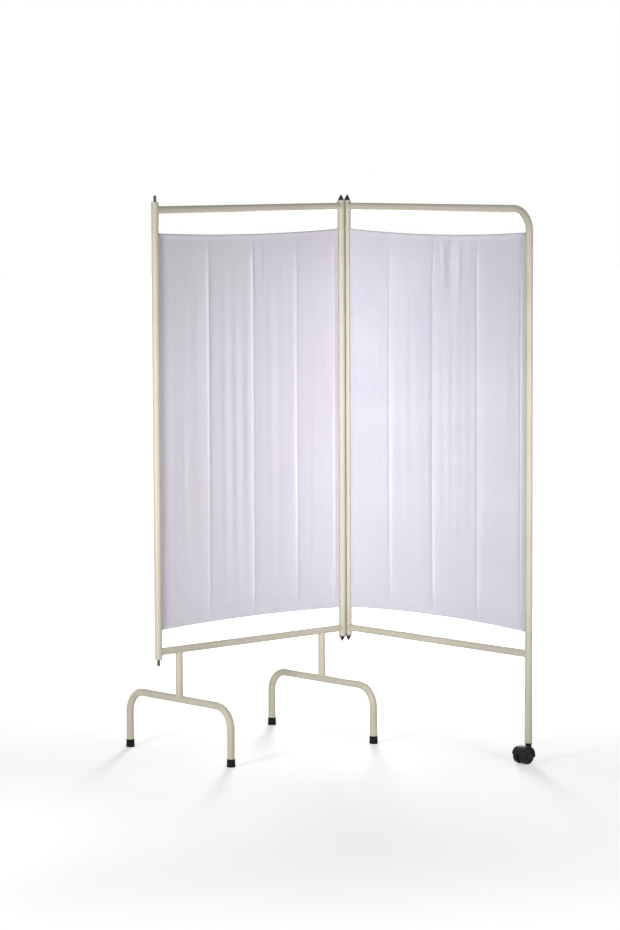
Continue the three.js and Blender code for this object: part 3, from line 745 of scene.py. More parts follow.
cap_tip = 0.0015
cap_lip = 0.0014
cap_ease = 0.0004
cap_bore_share = 0.45
for panel in ("footed", "wing"):
    for end, sense in ends.items():
        node = f"{panel}_{end}_cone_cap"
        height = end_height(node, 1) - end_height(node, -1)
        base = radius_of(node)
        place = at_height(middle_of(f"{panel}_hinge_upright"), end_height(node, -sense))
        cone = height - cap_lip
        slope = (base - cap_tip) / (cone - cap_tip)
        nose = [
            (cap_tip * math.cos(turn), height - cap_tip + cap_tip * math.sin(turn))
            for turn in np.linspace(0.35, math.pi / 2, 8)
        ]
        add_turned(node, "_moulding", [
            (pin_hole, 0),
            (base - cap_ease, 0),
            (base, cap_ease),
            (base, cap_lip),
            (base - cap_ease, cap_lip + 0.0003),
            (base - cap_ease - slope * 0.3 * cone, cap_lip + 0.3 * cone),
            *nose[:-1],
            (0, height),
            (0, cap_bore_share * height),
            (pin_hole, cap_bore_share * height),
            (pin_hole, 0),
        ], place, black_plastic, "black_plastic", axis=(0, 0, sense), sharp=40)

# The leg ends in a plastic socket. A stepped steel stem turns in it, held up by a split spring ring
# that snaps into a groove, and its thin end is pressed into the caster's hood.
socket_low, socket_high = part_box("caster_socket")
stem_low, stem_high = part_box("caster_stem")
stem_radius = radius_of("caster_stem")
stem_bore = stem_radius + plug_fit
socket_flange = 0.0014
caster_axis = at_height(leg_axis, socket_low.z)
socket_height = socket_high.z - socket_low.z
socket = add_turned("caster_socket", "_moulding", [
    (stem_bore, 0),
    (tube_radius, 0),
    (tube_radius, socket_flange),
    (tube_bore - plug_fit, socket_flange),
    (tube_bore - plug_fit, socket_height),
    (stem_bore, socket_height),
    (stem_bore, 0),
], caster_axis, black_plastic, "black_plastic")
socket_edge = 0.0002
ease_edges(socket, socket_edge, 2)

ring_low, ring_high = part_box("caster_grip_ring")
spigot_radius = 0.004
stem_ease = 0.001
stem_groove = 0.001
stem_neck = stem_radius - stem_groove
stem_foot = socket_low.z - stem_low.z
ring_bottom, ring_top = ring_low.z - socket_low.z, ring_high.z - socket_low.z
stem_top = stem_high.z - socket_low.z
add_turned("caster_stem", "_turning", [
    (0, -stem_foot),
    (spigot_radius, -stem_foot),
    (spigot_radius, 0),
    (stem_radius, 0),
    (stem_radius, ring_bottom - plug_fit),
    (stem_neck, ring_bottom - plug_fit),
    (stem_neck, ring_top + plug_fit),
    (stem_radius, ring_top + plug_fit),
    (stem_radius, stem_top - stem_ease),
    (stem_radius - stem_ease, stem_top),
    (0, stem_top),
], caster_axis, zinc_steel, "zinc_steel", sides=48)

ring_wire = (ring_high.z - ring_low.z) / 2
ring_line = radius_of("caster_grip_ring") - ring_wire
ring_gap = math.pi / 14
ring_steps = 60
wire_form_sides = 12


def rod_faces(rings, sides):
    """The faces of a rod of that many rings, with both ends closed."""
    last = (rings - 1) * sides
    closings = [tuple(range(sides)), tuple(range(last, last + sides))]
    return grid_faces(rings, sides, wrap_columns=True) + closings


turns = np.linspace(ring_gap, 2 * math.pi - ring_gap, ring_steps)
ring_out = np.array(arc(0, 1, turns))
ring_centres = at_height(leg_axis, (ring_low.z + ring_high.z) / 2) + ring_line * ring_out
points = rings_round(ring_centres, ring_wire, ring_out, upward[None], wire_form_sides)
mesh = smooth_mesh("caster_grip_ring", points, rod_faces(ring_steps, wire_form_sides))
add_piece("caster_grip_ring_wire", mesh, zinc_steel, "caster_grip_ring")

# The hood is one black moulding: a curved guard over both wheels, a web between them, a round boss for
# the axle and a taller one for the stem. Its edges are rounded where the mould closes.
hood_low, hood_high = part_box("caster_hood")
axle = middle_of("caster_axle")
wheel_low, wheel_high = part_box("caster_front_wheel")
wheel_radius = (wheel_high.z - wheel_low.z) / 2
hood_half = (hood_high.y - hood_low.y) / 2
hood_wall = 0.0025
guard_inner = wheel_radius + 0.0015
guard_outer = guard_inner + hood_wall
web_half = 0.004
hood_front = math.radians(-14)
hood_back = math.radians(168)
axle_boss_radius = 0.009
axle_boss_half = web_half + 0.0002
stem_boss_radius = 0.0095
stem_boss_drop = 0.028
stem_boss_ease = 0.0008
spigot_recess = 0.001
hood_steps = 56


def sector_mesh(name, outline, start, end, steps):
    """A closed (radius, offset along y) outline turned about the axle from start to end, in radians."""
    form = bmesh.new()
    out = np.array((math.cos(start), 0, math.sin(start)))
    first = [form.verts.new(axle + radius * out + offset * across_y) for radius, offset in outline]
    profile = form.faces.new(first)
    bmesh.ops.spin(
        form, geom=[profile, *profile.edges, *first], cent=tuple(axle), axis=(0, -1, 0),
        angle=end - start, steps=steps, use_duplicate=False,
    )
    bmesh.ops.remove_doubles(form, verts=form.verts, dist=1e-6)
    return finish_mesh(name, form)


def round_shoulder(radius, offset, ease, sense):
    """Points that round the outer edge of the guard."""
    return [
        (radius - ease + ease * math.sin(turn), sense * (offset - ease + ease * math.cos(turn)))
        for turn in np.linspace(0, math.pi / 2, 6)
    ]


shoulder = 0.0022
hood_outline = [
    (0.0, -web_half),
    (guard_inner, -web_half),
    (guard_inner, -hood_half),
    *round_shoulder(guard_outer, hood_half, shoulder, -1),
    *reversed(round_shoulder(guard_outer, hood_half, shoulder, 1)),
    (guard_inner, hood_half),
    (guard_inner, web_half),
    (0.0, web_half),
]
hood = add_piece(
    "caster_hood_moulding",
    sector_mesh("caster_hood", hood_outline, hood_front, hood_back, hood_steps),
    black_plastic, "caster_hood",
)

axle_boss = [
    (0, -axle_boss_half), (axle_boss_radius, -axle_boss_half),
    (axle_boss_radius, axle_boss_half), (0, axle_boss_half),
]
boss = into_scene("axle boss", turned_mesh("axle boss", axle_boss, axle, sides=48, axis=across_y))
combine(hood, boss, "UNION")
stem_boss = [
    (0, -stem_boss_drop), (stem_boss_radius, -stem_boss_drop), (stem_boss_radius, -stem_boss_ease),
    (stem_boss_radius - stem_boss_ease, 0), (spigot_radius, 0), (spigot_radius, -spigot_recess),
    (0, -spigot_recess),
]
stem_top_place = at_height(leg_axis, hood_high.z)
boss = into_scene("stem boss", turned_mesh("stem boss", stem_boss, stem_top_place, sides=48))
combine(hood, boss, "UNION")
hood.data.shade_smooth()
hood.data.set_sharp_from_angle(angle=math.radians(35))

# Two black wheels run on one steel axle, one on each side of the web. Their treads have rounded
# shoulders, and the outer faces are dished round a raised hub.
wheel_width = wheel_high.y - wheel_low.y
wheel_shoulder = 0.0028
wheel_rim = 0.006
wheel_dish = 0.0025
wheel_hub = 0.0085
wheel_face = 0.004
mould_line = 0.0004
axle_radius = radius_of("caster_axle")
axle_bore = axle_radius + plug_fit
axle_ease = 0.0006
tread_arc = [
    (wheel_radius - wheel_shoulder * (1 - math.sin(turn)), wheel_shoulder * (1 - math.cos(turn)))
    for turn in np.linspace(0, math.pi / 2, 8)
]
dish_edge = wheel_radius - wheel_rim
wheel_profile = [
    (axle_bore, 0),
    *tread_arc,
    (wheel_radius, wheel_width / 2 - 0.0006),
    (wheel_radius - mould_line, wheel_width / 2 - 0.0003),
    (wheel_radius - mould_line, wheel_width / 2 + 0.0003),
    (wheel_radius, wheel_width / 2 + 0.0006),
    *[(radius, wheel_width - height) for radius, height in reversed(tread_arc)],
    (dish_edge + 0.0006, wheel_width - 0.0004),
    (dish_edge, wheel_width - 0.001),
    (dish_edge - wheel_dish, wheel_width - wheel_dish),
    (wheel_hub + 0.0012, wheel_width - wheel_dish),
    (wheel_hub, wheel_width - wheel_dish + 0.0006),
    (wheel_hub - 0.0006, wheel_width - 0.0005),
    (wheel_hub - 0.0016, wheel_width),
    (0, wheel_width),
    (0, wheel_width - wheel_face),
    (axle_bore, wheel_width - wheel_face),
    (axle_bore, 0),
]
for label, outward in (("front", -1), ("back", 1)):
    node = f"caster_{label}_wheel"
    low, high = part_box(node)
    place = (axle[0], high.y if outward < 0 else low.y, axle[2])
    add_turned(
        node, "_moulding", wheel_profile, place, black_plastic, "black_plastic",
        sides=72, axis=(0, outward, 0),
    )

axle_half = (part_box("caster_axle")[1].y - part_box("caster_axle")[0].y) / 2
rod = [
    (0, -axle_half), (axle_radius - axle_ease, -axle_half), (axle_radius, axle_ease - axle_half),
    (axle_radius, axle_half - axle_ease), (axle_radius - axle_ease, axle_half), (0, axle_half),
]
add_turned("caster_axle", "_rod", rod, axle, zinc_steel, "zinc_steel", sides=32, axis=across_y)

# A curtain wire is a close-wound spring in a white vinyl sleeve, with a screw eye in each end. The
# cloth pulls it into a shallow curve, down at the top of a panel and up at the bottom.
vinyl_white = (0.8, 0.8, 0.78, 1)
vinyl_yellow = (0.7, 0.68, 0.6, 1)
white_vinyl, vinyl_tree, vinyl = new_material("white vinyl", 0.45, specular=0.5)
vinyl_peel = use_group(vinyl_tree, orange_peel, {"Scale": 400.0})
vinyl_tone = mixed(vinyl_tree, ramp(vinyl_tree, vinyl_peel["Tone"], 0.3, 0.8), vinyl_white, vinyl_yellow)
vinyl_tree.links.new(vinyl_tone, vinyl["Base Color"])
vinyl_coils = add_node(vinyl_tree, "Attribute", attribute_name="coil").outputs["Fac"]
bump(vinyl_tree, vinyl, math_node(vinyl_tree, "SINE", vinyl_coils), 0.0001, 0.6)

wire_radius = 0.00225
wire_steps = 120
wire_sides = 20
coil_pitch = 0.0012
eye_wire = 0.0008
eye_line = 0.0024
eye_turns = 36


class Panel:
    """One panel's own directions: along it from its hinge, and out of its front."""

    def __init__(self, label, hinge, far, along, front):
        self.label = label
        self.hinge = hinge
        self.along = along
        self.front = front
        self.width = abs(float((far - hinge) @ along))

    def point(self, distance, depth, height):
        """A place that far along the panel, out of its front and up."""
        place = at_height(self.hinge, 0)
        for amount, way in ((distance, self.along), (depth, self.front), (height, upward)):
            place = place + np.multiply.outer(amount, way)
        return place

    def reach(self, node):
        """How far the near and the far end of a node lie from the hinge."""
        along = np.abs(self.along)
        return sorted(abs(np.array(corner) @ along - self.hinge @ along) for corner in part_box(node))


panels = [
    Panel("footed", footed_hinge, free_upright, -across_x, -across_y),
    Panel("wing", wing_hinge, leg_axis, -across_y, -across_x),
]


def rod_mesh(name, centres, radius, sides, normal):
    """A round rod along a line, with closed ends."""
    steps = unit(np.gradient(centres, axis=0))
    side = unit(np.cross(steps, normal))
    points = rings_round(centres, radius, side, np.cross(side, steps), sides)
    return smooth_mesh(name, points, rod_faces(len(centres), sides))


def add_attribute(mesh, name, kind, field, values):
    made = mesh.attributes.new(name, kind, "POINT")
    made.data.foreach_set(field, np.ravel(values).astype(np.float32))


class Wire:
    """One curtain wire: how far its eyes lie from the hinge, its level there and its sag at mid-width."""

    def __init__(self, panel, end):
        node = f"{panel.label}_{end}_wire"
        near, far = panel.reach(node)
        facet = wire_radius * math.cos(math.pi / 6)
        self.sense = ends[end]
        self.eyes = (near + eye_wire + eye_line, far - eye_wire - eye_line)
        self.start = self.eyes[0] + eye_line
        self.stop = self.eyes[1] - eye_line
        self.level = end_height(node, self.sense) - self.sense * facet
        self.sag = end_height(node, 1) - end_height(node, -1) - 2 * facet

    def height(self, distance):
        share = np.clip((distance - self.start) / (self.stop - self.start), 0, 1)
        return self.level - self.sense * self.sag * 4 * share * (1 - share)


for panel in panels:
    for end in ends:
        node = f"{panel.label}_{end}_wire"
        wire = Wire(panel, end)
        distance = np.linspace(wire.start, wire.stop, wire_steps)
        line = panel.point(distance, 0 * distance, wire.height(distance))
        mesh = rod_mesh(node, line, wire_radius, wire_sides, panel.front)
        coils = np.repeat(distance / coil_pitch * 2 * math.pi, wire_sides)
        add_attribute(mesh, "coil", "FLOAT", "value", coils)
        add_piece(node + "_sleeve", mesh, white_vinyl, node)
        for label, middle in zip(("inner", "outer"), wire.eyes):
            turns = np.linspace(0, 2 * math.pi, eye_turns, endpoint=False)
            out = np.outer(np.cos(turns), panel.along) + np.outer(np.sin(turns), panel.front)
            ring = panel.point(middle, 0, wire.level) + eye_line * out
            points = rings_round(ring, eye_wire, out, upward[None], wire_form_sides)
            faces = grid_faces(eye_turns, wire_form_sides, wrap_rows=True, wrap_columns=True)
            name = f"{node}_{label}_eye"
            add_detail(name, smooth_mesh(name, points, faces, sharp=80), zinc_steel, node)

# Each eye drops over the upturned leg of a wire hook, whose shank goes into the drilled hole in the
# upright. The pull of the spring keeps it there.
hook_bend = 0.0018
hook_sides = 16
for panel in panels:
    for end, sense in ends.items():
        for side, outward in (("inner", 1), ("outer", -1)):
            node = f"{panel.label}_{end}_{side}_hook"
            shank, leg = panel.reach(node)[::outward]
            leg -= outward * hook_radius
            shank_z = end_height(node, -sense) + sense * hook_radius
            leg_z = end_height(node, sense)
            turns = np.linspace(0, math.pi / 2, 9)
            distances = [shank, *(leg - outward * hook_bend * (1 - np.sin(turns))), leg]
            heights = [shank_z, *(shank_z + sense * hook_bend * (1 - np.cos(turns))), leg_z]
            line = panel.point(np.array(distances), np.zeros(len(distances)), np.array(heights))
            mesh = rod_mesh(node, line, hook_radius, hook_sides, panel.front)
            add_piece(node + "_wire", mesh, zinc_steel, node)

# A curtain is one length of white cotton sheeting. Its top and bottom are turned over the wires and
# stitched down as casings, its sides are hemmed, and it keeps the creases that it was pressed with.
cloth_lilac = (0.735, 0.72, 0.825, 1)
cloth_white = (0.795, 0.785, 0.85, 1)
cloth_warm = (0.73, 0.695, 0.747, 1)
cloth_shade = (0.68, 0.66, 0.74, 1)
# Painted highlight: this paler colour is laid along one flank of each crease, in place of the light that
# catches the fold.
cloth_painted_highlight = (0.88, 0.87, 0.9, 1)
woven, woven_in, woven_out = effect_group(
    "woven threads", {"Place": (0.0, 0.0, 0.0), "Threads": 1700.0}, ["Height", "Tone"]
)
threads = add_node(
    woven, "VectorMath", {0: woven_in["Place"], "Scale": woven_in["Threads"]}, operation="SCALE"
).outputs[0]
thread = add_node(woven, "SeparateXYZ", {0: threads}).outputs


def thread_height(lengthways, crossways, shift):
    lift = math_node(woven, "ADD", crossways, math_node(woven, "FLOOR", lengthways))
    lift = math_node(woven, "MULTIPLY", math_node(woven, "ADD", lift, shift), math.pi)
    lift = math_node(woven, "COSINE", lift)
    over = math_node(woven, "MULTIPLY_ADD", lift, 0.5, 0.5)
    round_thread = math_node(woven, "SINE", math_node(woven, "MULTIPLY", lengthways, math.pi))
    return math_node(woven, "MULTIPLY", math_node(woven, "ABSOLUTE", round_thread), over)


warp = thread_height(thread["X"], thread["Y"], 0.0)
weft = thread_height(thread["Y"], thread["X"], 1.0)
woven.links.new(math_node(woven, "MAXIMUM", warp, weft), woven_out["Height"])
warp_slubs = noise(woven, stretched(woven, woven_in["Place"], (420.0, 9.0, 1.0)), 1.0, 3.0, 0.6)
weft_slubs = noise(woven, stretched(woven, woven_in["Place"], (9.0, 420.0, 1.0)), 1.0, 3.0, 0.6)
slub_tone = math_node(woven, "MULTIPLY", weft_slubs, 0.35)
slub_tone = math_node(woven, "ADD", math_node(woven, "MULTIPLY", warp_slubs, 0.65), slub_tone)
woven.links.new(slub_tone, woven_out["Tone"])

white_cloth, cloth_tree, cloth = new_material("white cotton sheeting", 0.9, specular=0.2)
cloth["Sheen Weight"].default_value = 0.15
cloth["Sheen Roughness"].default_value = 0.5
cloth_place = add_node(cloth_tree, "Attribute", attribute_name="flat_place").outputs["Vector"]
# The painted highlight beside each crease, read from the mesh.
crease_highlight_mask = add_node(cloth_tree, "Attribute", attribute_name="painted_crease_highlight").outputs["Fac"]
cloth_wash = add_node(cloth_tree, "Attribute", attribute_name="washed").outputs["Fac"]
cloth_weave = use_group(cloth_tree, woven, {"Place": cloth_place})
cloth_patches = ramp(cloth_tree, noise(cloth_tree, cloth_place, 4.5, 2.0), 0.35, 0.7)
cloth_blush = ramp(cloth_tree, noise(cloth_tree, cloth_place, 2.2, 1.0), 0.45, 0.7)
cloth_slub = ramp(cloth_tree, cloth_weave["Tone"], 0.38, 0.62)
cloth_tone = mixed(cloth_tree, cloth_patches, cloth_lilac, cloth_white)
for share, colour in (
    (math_node(cloth_tree, "MULTIPLY_ADD", cloth_blush, 0.35, cloth_wash), cloth_warm),
    (math_node(cloth_tree, "MULTIPLY", cloth_slub, 0.45), cloth_shade),
    # the painted highlight along one flank of each crease
    (math_node(cloth_tree, "MULTIPLY", crease_highlight_mask, 0.6), cloth_painted_highlight),
):
    cloth_tone = mixed(cloth_tree, share, cloth_tone, colour)
cloth_tree.links.new(cloth_tone, cloth["Base Color"])
slub_height = math_node(cloth_tree, "MULTIPLY", cloth_weave["Tone"], 2.5)
cloth_height = math_node(cloth_tree, "ADD", cloth_weave["Height"], slub_height)
bump(cloth_tree, cloth, cloth_height, 0.00022, 0.8)

sewing_thread, sewing_tree, sewing = new_material("sewing thread", 0.7, specular=0.3)
sewing_tone = noise(sewing_tree, add_node(sewing_tree, "TexCoord").outputs["Object"], 900.0, 2.0)
thread_white, thread_grey = (0.82, 0.81, 0.83, 1), (0.66, 0.65, 0.68, 1)
sewing_tree.links.new(mixed(sewing_tree, sewing_tone, thread_white, thread_grey), sewing["Base Color"])
bump(sewing_tree, sewing, sewing_tone, 0.0001)

cloth_thickness = 0.0007
cloth_gap = 0.0015
casing_radius = 0.0042
casing_seam = 0.011
casing_top = 0.0047
top_hem = 0.036
bottom_hem = 0.027
side_hem = 0.012
ply_offset = 0.00045
lone_ply = 0.62
sim_columns, sim_rows = 104, 150
sim_frames = 36
cloth_ease = 1.002
cloth_shrink = 0.9985
wave_height = 0.0003


def bell(away):
    return np.exp(-(away**2))


def running_total(steps):
    return np.concatenate(([0.0], np.cumsum(steps)))


def held_places(flat, gathers):
    """Where each thread of the flat width is held on a wire, closer together where the cloth is gathered."""
    density = np.ones_like(flat)
    for middle, reach, fullness in gathers:
        density += fullness * bell((flat - middle) / reach)
    held = running_total(np.diff(flat) * 2 / (density[1:] + density[:-1]))
    return held / held[-1]


def between(values, places):
    """A smooth curve through evenly spaced rows of values, read at places from 0 to 1."""
    count = len(values)
    position = np.clip(np.asarray(places) * (count - 1), 0, count - 1 - 1e-9)
    index = position.astype(int)
    part = (position - index).reshape((-1,) + (1,) * (values.ndim - 1))
    before, after = np.maximum(index - 1, 0), np.minimum(index + 2, count - 1)
    p0, p1, p2, p3 = values[before], values[index], values[index + 1], values[after]
    return 0.5 * (
        2 * p1
        + (p2 - p0) * part
        + (2 * p0 - 5 * p1 + 4 * p2 - p3) * part**2
        + (3 * p1 - p0 - 3 * p2 + p3) * part**3
    )


def hang_cloth(shape, rest):
    """Lets a flat cut of cloth settle between its held edges, and gives its points back as rows."""
    rows, columns = shape.shape[:2]
    mesh = bpy.data.meshes.new("hanging")
    mesh.from_pydata(shape.reshape(-1, 3), [], grid_faces(rows, columns))
    hanging = into_scene("hanging", mesh)
    hanging.shape_key_add(name="Basis")
    cut = hanging.shape_key_add(name="cut")
    cut.data.foreach_set("co", rest.reshape(-1))
    cut.value = 0
    held = hanging.vertex_groups.new(name="held")
    edge = [
        row * columns + column
        for row in range(rows)
        for column in range(columns)
        if row in (0, rows - 1) or column in (0, columns - 1)
    ]
    held.add(edge, 1.0, "REPLACE")
    drape = hanging.modifiers.new("drape", "CLOTH")
    drape.point_cache.frame_start = 1
    drape.point_cache.frame_end = sim_frames
    cotton = drape.settings
    cotton.quality = 6
    cotton.mass = 0.2
    cotton.air_damping = 2
    cotton.tension_stiffness = 30
    cotton.compression_stiffness = 30
    cotton.shear_stiffness = 6
    cotton.bending_stiffness = 0.35
    cotton.rest_shape_key = cut
    cotton.vertex_group_mass = "held"
    cotton.effector_weights.gravity = 0.03
    drape.collision_settings.use_collision = False
    drape.collision_settings.use_self_collision = False
    for moment in range(1, sim_frames + 1):
        bpy.context.scene.frame_set(moment)
    settled = hanging.evaluated_get(bpy.context.evaluated_depsgraph_get())
    points = np.zeros(rows * columns * 3)
    settled.data.vertices.foreach_get("co", points)
    bpy.data.objects.remove(hanging)
    return points.reshape(rows, columns, 3)


crease_outer_reach = 0.009
crease_inner_reach = 0.004
crease_sharp, crease_soft = 0.0024, 0.0018
crease_soft_reach = 0.024
wrinkle_count = 150
wrinkle_depth = 0.00025


def crease_ridge(distance, creases):
    """How far the pressed creases stand out of the cloth: a sharp ridge on a broader soft one."""
    depth = np.zeros_like(distance)
    for middle in creases:
        away = distance - middle
        reach = np.where(away > 0, crease_outer_reach, crease_inner_reach)
        depth += crease_sharp * np.exp(-np.abs(away) / reach)
        depth += crease_soft * np.exp(-np.abs(away) / crease_soft_reach)
    return depth


def wrinkles(distance, height, width, low, high, chance):
    """Fine upright wrinkles scattered over a curtain, each a soft ridge that dies out at both ends."""
    depth = np.zeros(np.broadcast(distance, height).shape)
    for _ in range(wrinkle_count):
        middle = chance.uniform(0.02, 0.98) * width
        level = chance.uniform(low, high)
        breadth = chance.uniform(0.005, 0.016)
        length = chance.uniform(0.06, 0.3)
        amount = chance.normal(0.0, wrinkle_depth)
        lean = chance.normal(0.0, 0.02)
        across = (distance - middle - lean * (height - level)) / breadth
        depth += amount * bell(across) * bell((height - level) / length)
    return depth


cloth_details = {
    "footed": {
        "creases": (0.026, 0.243, 0.487, 0.739),
        "top_gathers": ((0.6, 0.06, 0.07), (0.535, 0.02, 0.07)),
        "bottom_gathers": ((0.63, 0.07, 0.06),),
        "folds": (
            (0.44, 0.96, 0.012, 0.06, 0.0016), (0.475, 0.95, 0.009, 0.05, -0.0016),
            (0.87, 0.42, 0.012, 0.14, -0.0014), (0.93, 0.5, 0.014, 0.4, 0.0009),
        ),
        "seed": 11,
        "washed": 0.6,
    },
    "wing": {
        "creases": (0.233, 0.481, 0.739, 0.976),
        "top_gathers": ((0.49, 0.028, 0.14), (0.58, 0.07, 0.1)),
        "bottom_gathers": ((0.57, 0.05, 0.12),),
        "folds": (
            (0.545, 0.965, 0.014, 0.075, -0.0038), (0.587, 0.965, 0.019, 0.085, 0.0042),
            (0.634, 0.955, 0.014, 0.085, -0.0042), (0.695, 0.98, 0.009, 0.06, -0.002),
            (0.9, 0.59, 0.01, 0.25, -0.0014), (0.94, 0.55, 0.012, 0.3, 0.0012),
        ),
        "seed": 23,
        "washed": 0.0,
    },
}

pleat_swings = ((0.6, 0.031, 1.9, 0.0085, 0), (0.5, 0.0175, 1.1, 0.021, 1))
pleat_spread = 1.15
full_gather = 0.1


def pleats(flat, gathers):
    """The small pleats that a gather puts into the hem, at unit depth."""
    total = np.zeros_like(flat)
    for middle, reach, fullness in gathers:
        away = flat - middle
        swing = sum(
            share * np.cos(away / pitch * 2 * math.pi + sway * np.sin(away / sway_pitch) + shift)
            for share, pitch, sway, sway_pitch, shift in pleat_swings
        )
        total += fullness / full_gather * swing * bell(away / (pleat_spread * reach))
    return total


casing_round_steps = 22
casing_flat_steps = 7


def casing_path(sense, hem):
    """The way round a casing as (depth, height past the wire), from its front stitching to its back."""
    seam_reach = math.hypot(casing_seam, ply_offset)
    start = -math.atan2(casing_seam, ply_offset) + math.acos(casing_radius / seam_reach)
    stitch = hem - casing_top
    loop = [
        (casing_radius * math.cos(turn), casing_radius * math.sin(turn))
        for turn in np.linspace(start, math.pi - start, casing_round_steps)
    ]
    front = [(ply_offset, -height) for height in np.linspace(stitch, casing_seam, casing_flat_steps)]
    back = [(-depth, height) for depth, height in reversed(front)]
    return np.array([(depth, sense * height) for depth, height in front + loop + back])


def spread_places(count, marks, reach):
    """Places from 0 to 1, closer together near each mark."""
    fine = np.linspace(0, 1, 4001)
    density = 1 + sum(2.5 * bell((fine - mark) / reach) for mark in marks)
    total = running_total((density[1:] + density[:-1]) / 2)
    return np.interp(np.linspace(0, 1, count), total / total[-1], fine)


stitch_pitch = 0.0036
stitch_length = 0.0027
thread_radius = 0.00022
thread_sides = 6


def stitch_run(line, outward):
    """The stitches of one seam as (points, faces): short threads that dip into the cloth at both ends."""
    travel = running_total(np.linalg.norm(np.diff(line, axis=0), axis=1))
    middles = np.arange(stitch_pitch, travel[-1] - stitch_pitch, stitch_pitch)
    spots = middles[:, None] + stitch_length * np.array((-0.5, -0.35, 0.35, 0.5))
    centres = np.stack([np.interp(spots, travel, line[:, axis]) for axis in range(3)], axis=-1)
    centres += thread_radius * np.array((-1.0, 0.4, 0.4, -1.0))[None, :, None] * outward
    side = np.repeat(unit(np.cross(centres[:, -1] - centres[:, 0], outward)), 4, axis=0)
    points = rings_round(centres.reshape(-1, 3), thread_radius, outward[None], side, thread_sides)
    starts = range(0, len(points), 4 * thread_sides)
    one = rod_faces(4, thread_sides)
    return points, [tuple(start + index for index in face) for start in starts for face in one]


cloth_columns = 250
cloth_rows = 132
crowding_reach = 0.012
pleat_depth = 0.0011
pleat_fall = 0.03
pleat_wander, pleat_wander_pitch = 0.5, 0.0065
pucker_depth = 0.00022
pucker_pitch, pucker_sway_pitch = 0.011, 0.037
pucker_fall = 0.008
depth_limit = 0.0055
slack_share, slack_fall = 0.75, 0.03
edge_ease = 0.02
# These set the painted highlight beside each crease: its breadth, its sideways shift off the crease, its
# mean, swing and wander along the crease, and how much of it reaches into the casings.
crease_breadth = 0.0045
crease_shift = 0.0045
highlight_mean, highlight_swing, highlight_wander = 0.55, 0.45, 0.19
highlight_in_casing = 0.15
casing_stiffness = 0.12
casing_crease = 0.25
ripple_counts = range(6, 40, 3)

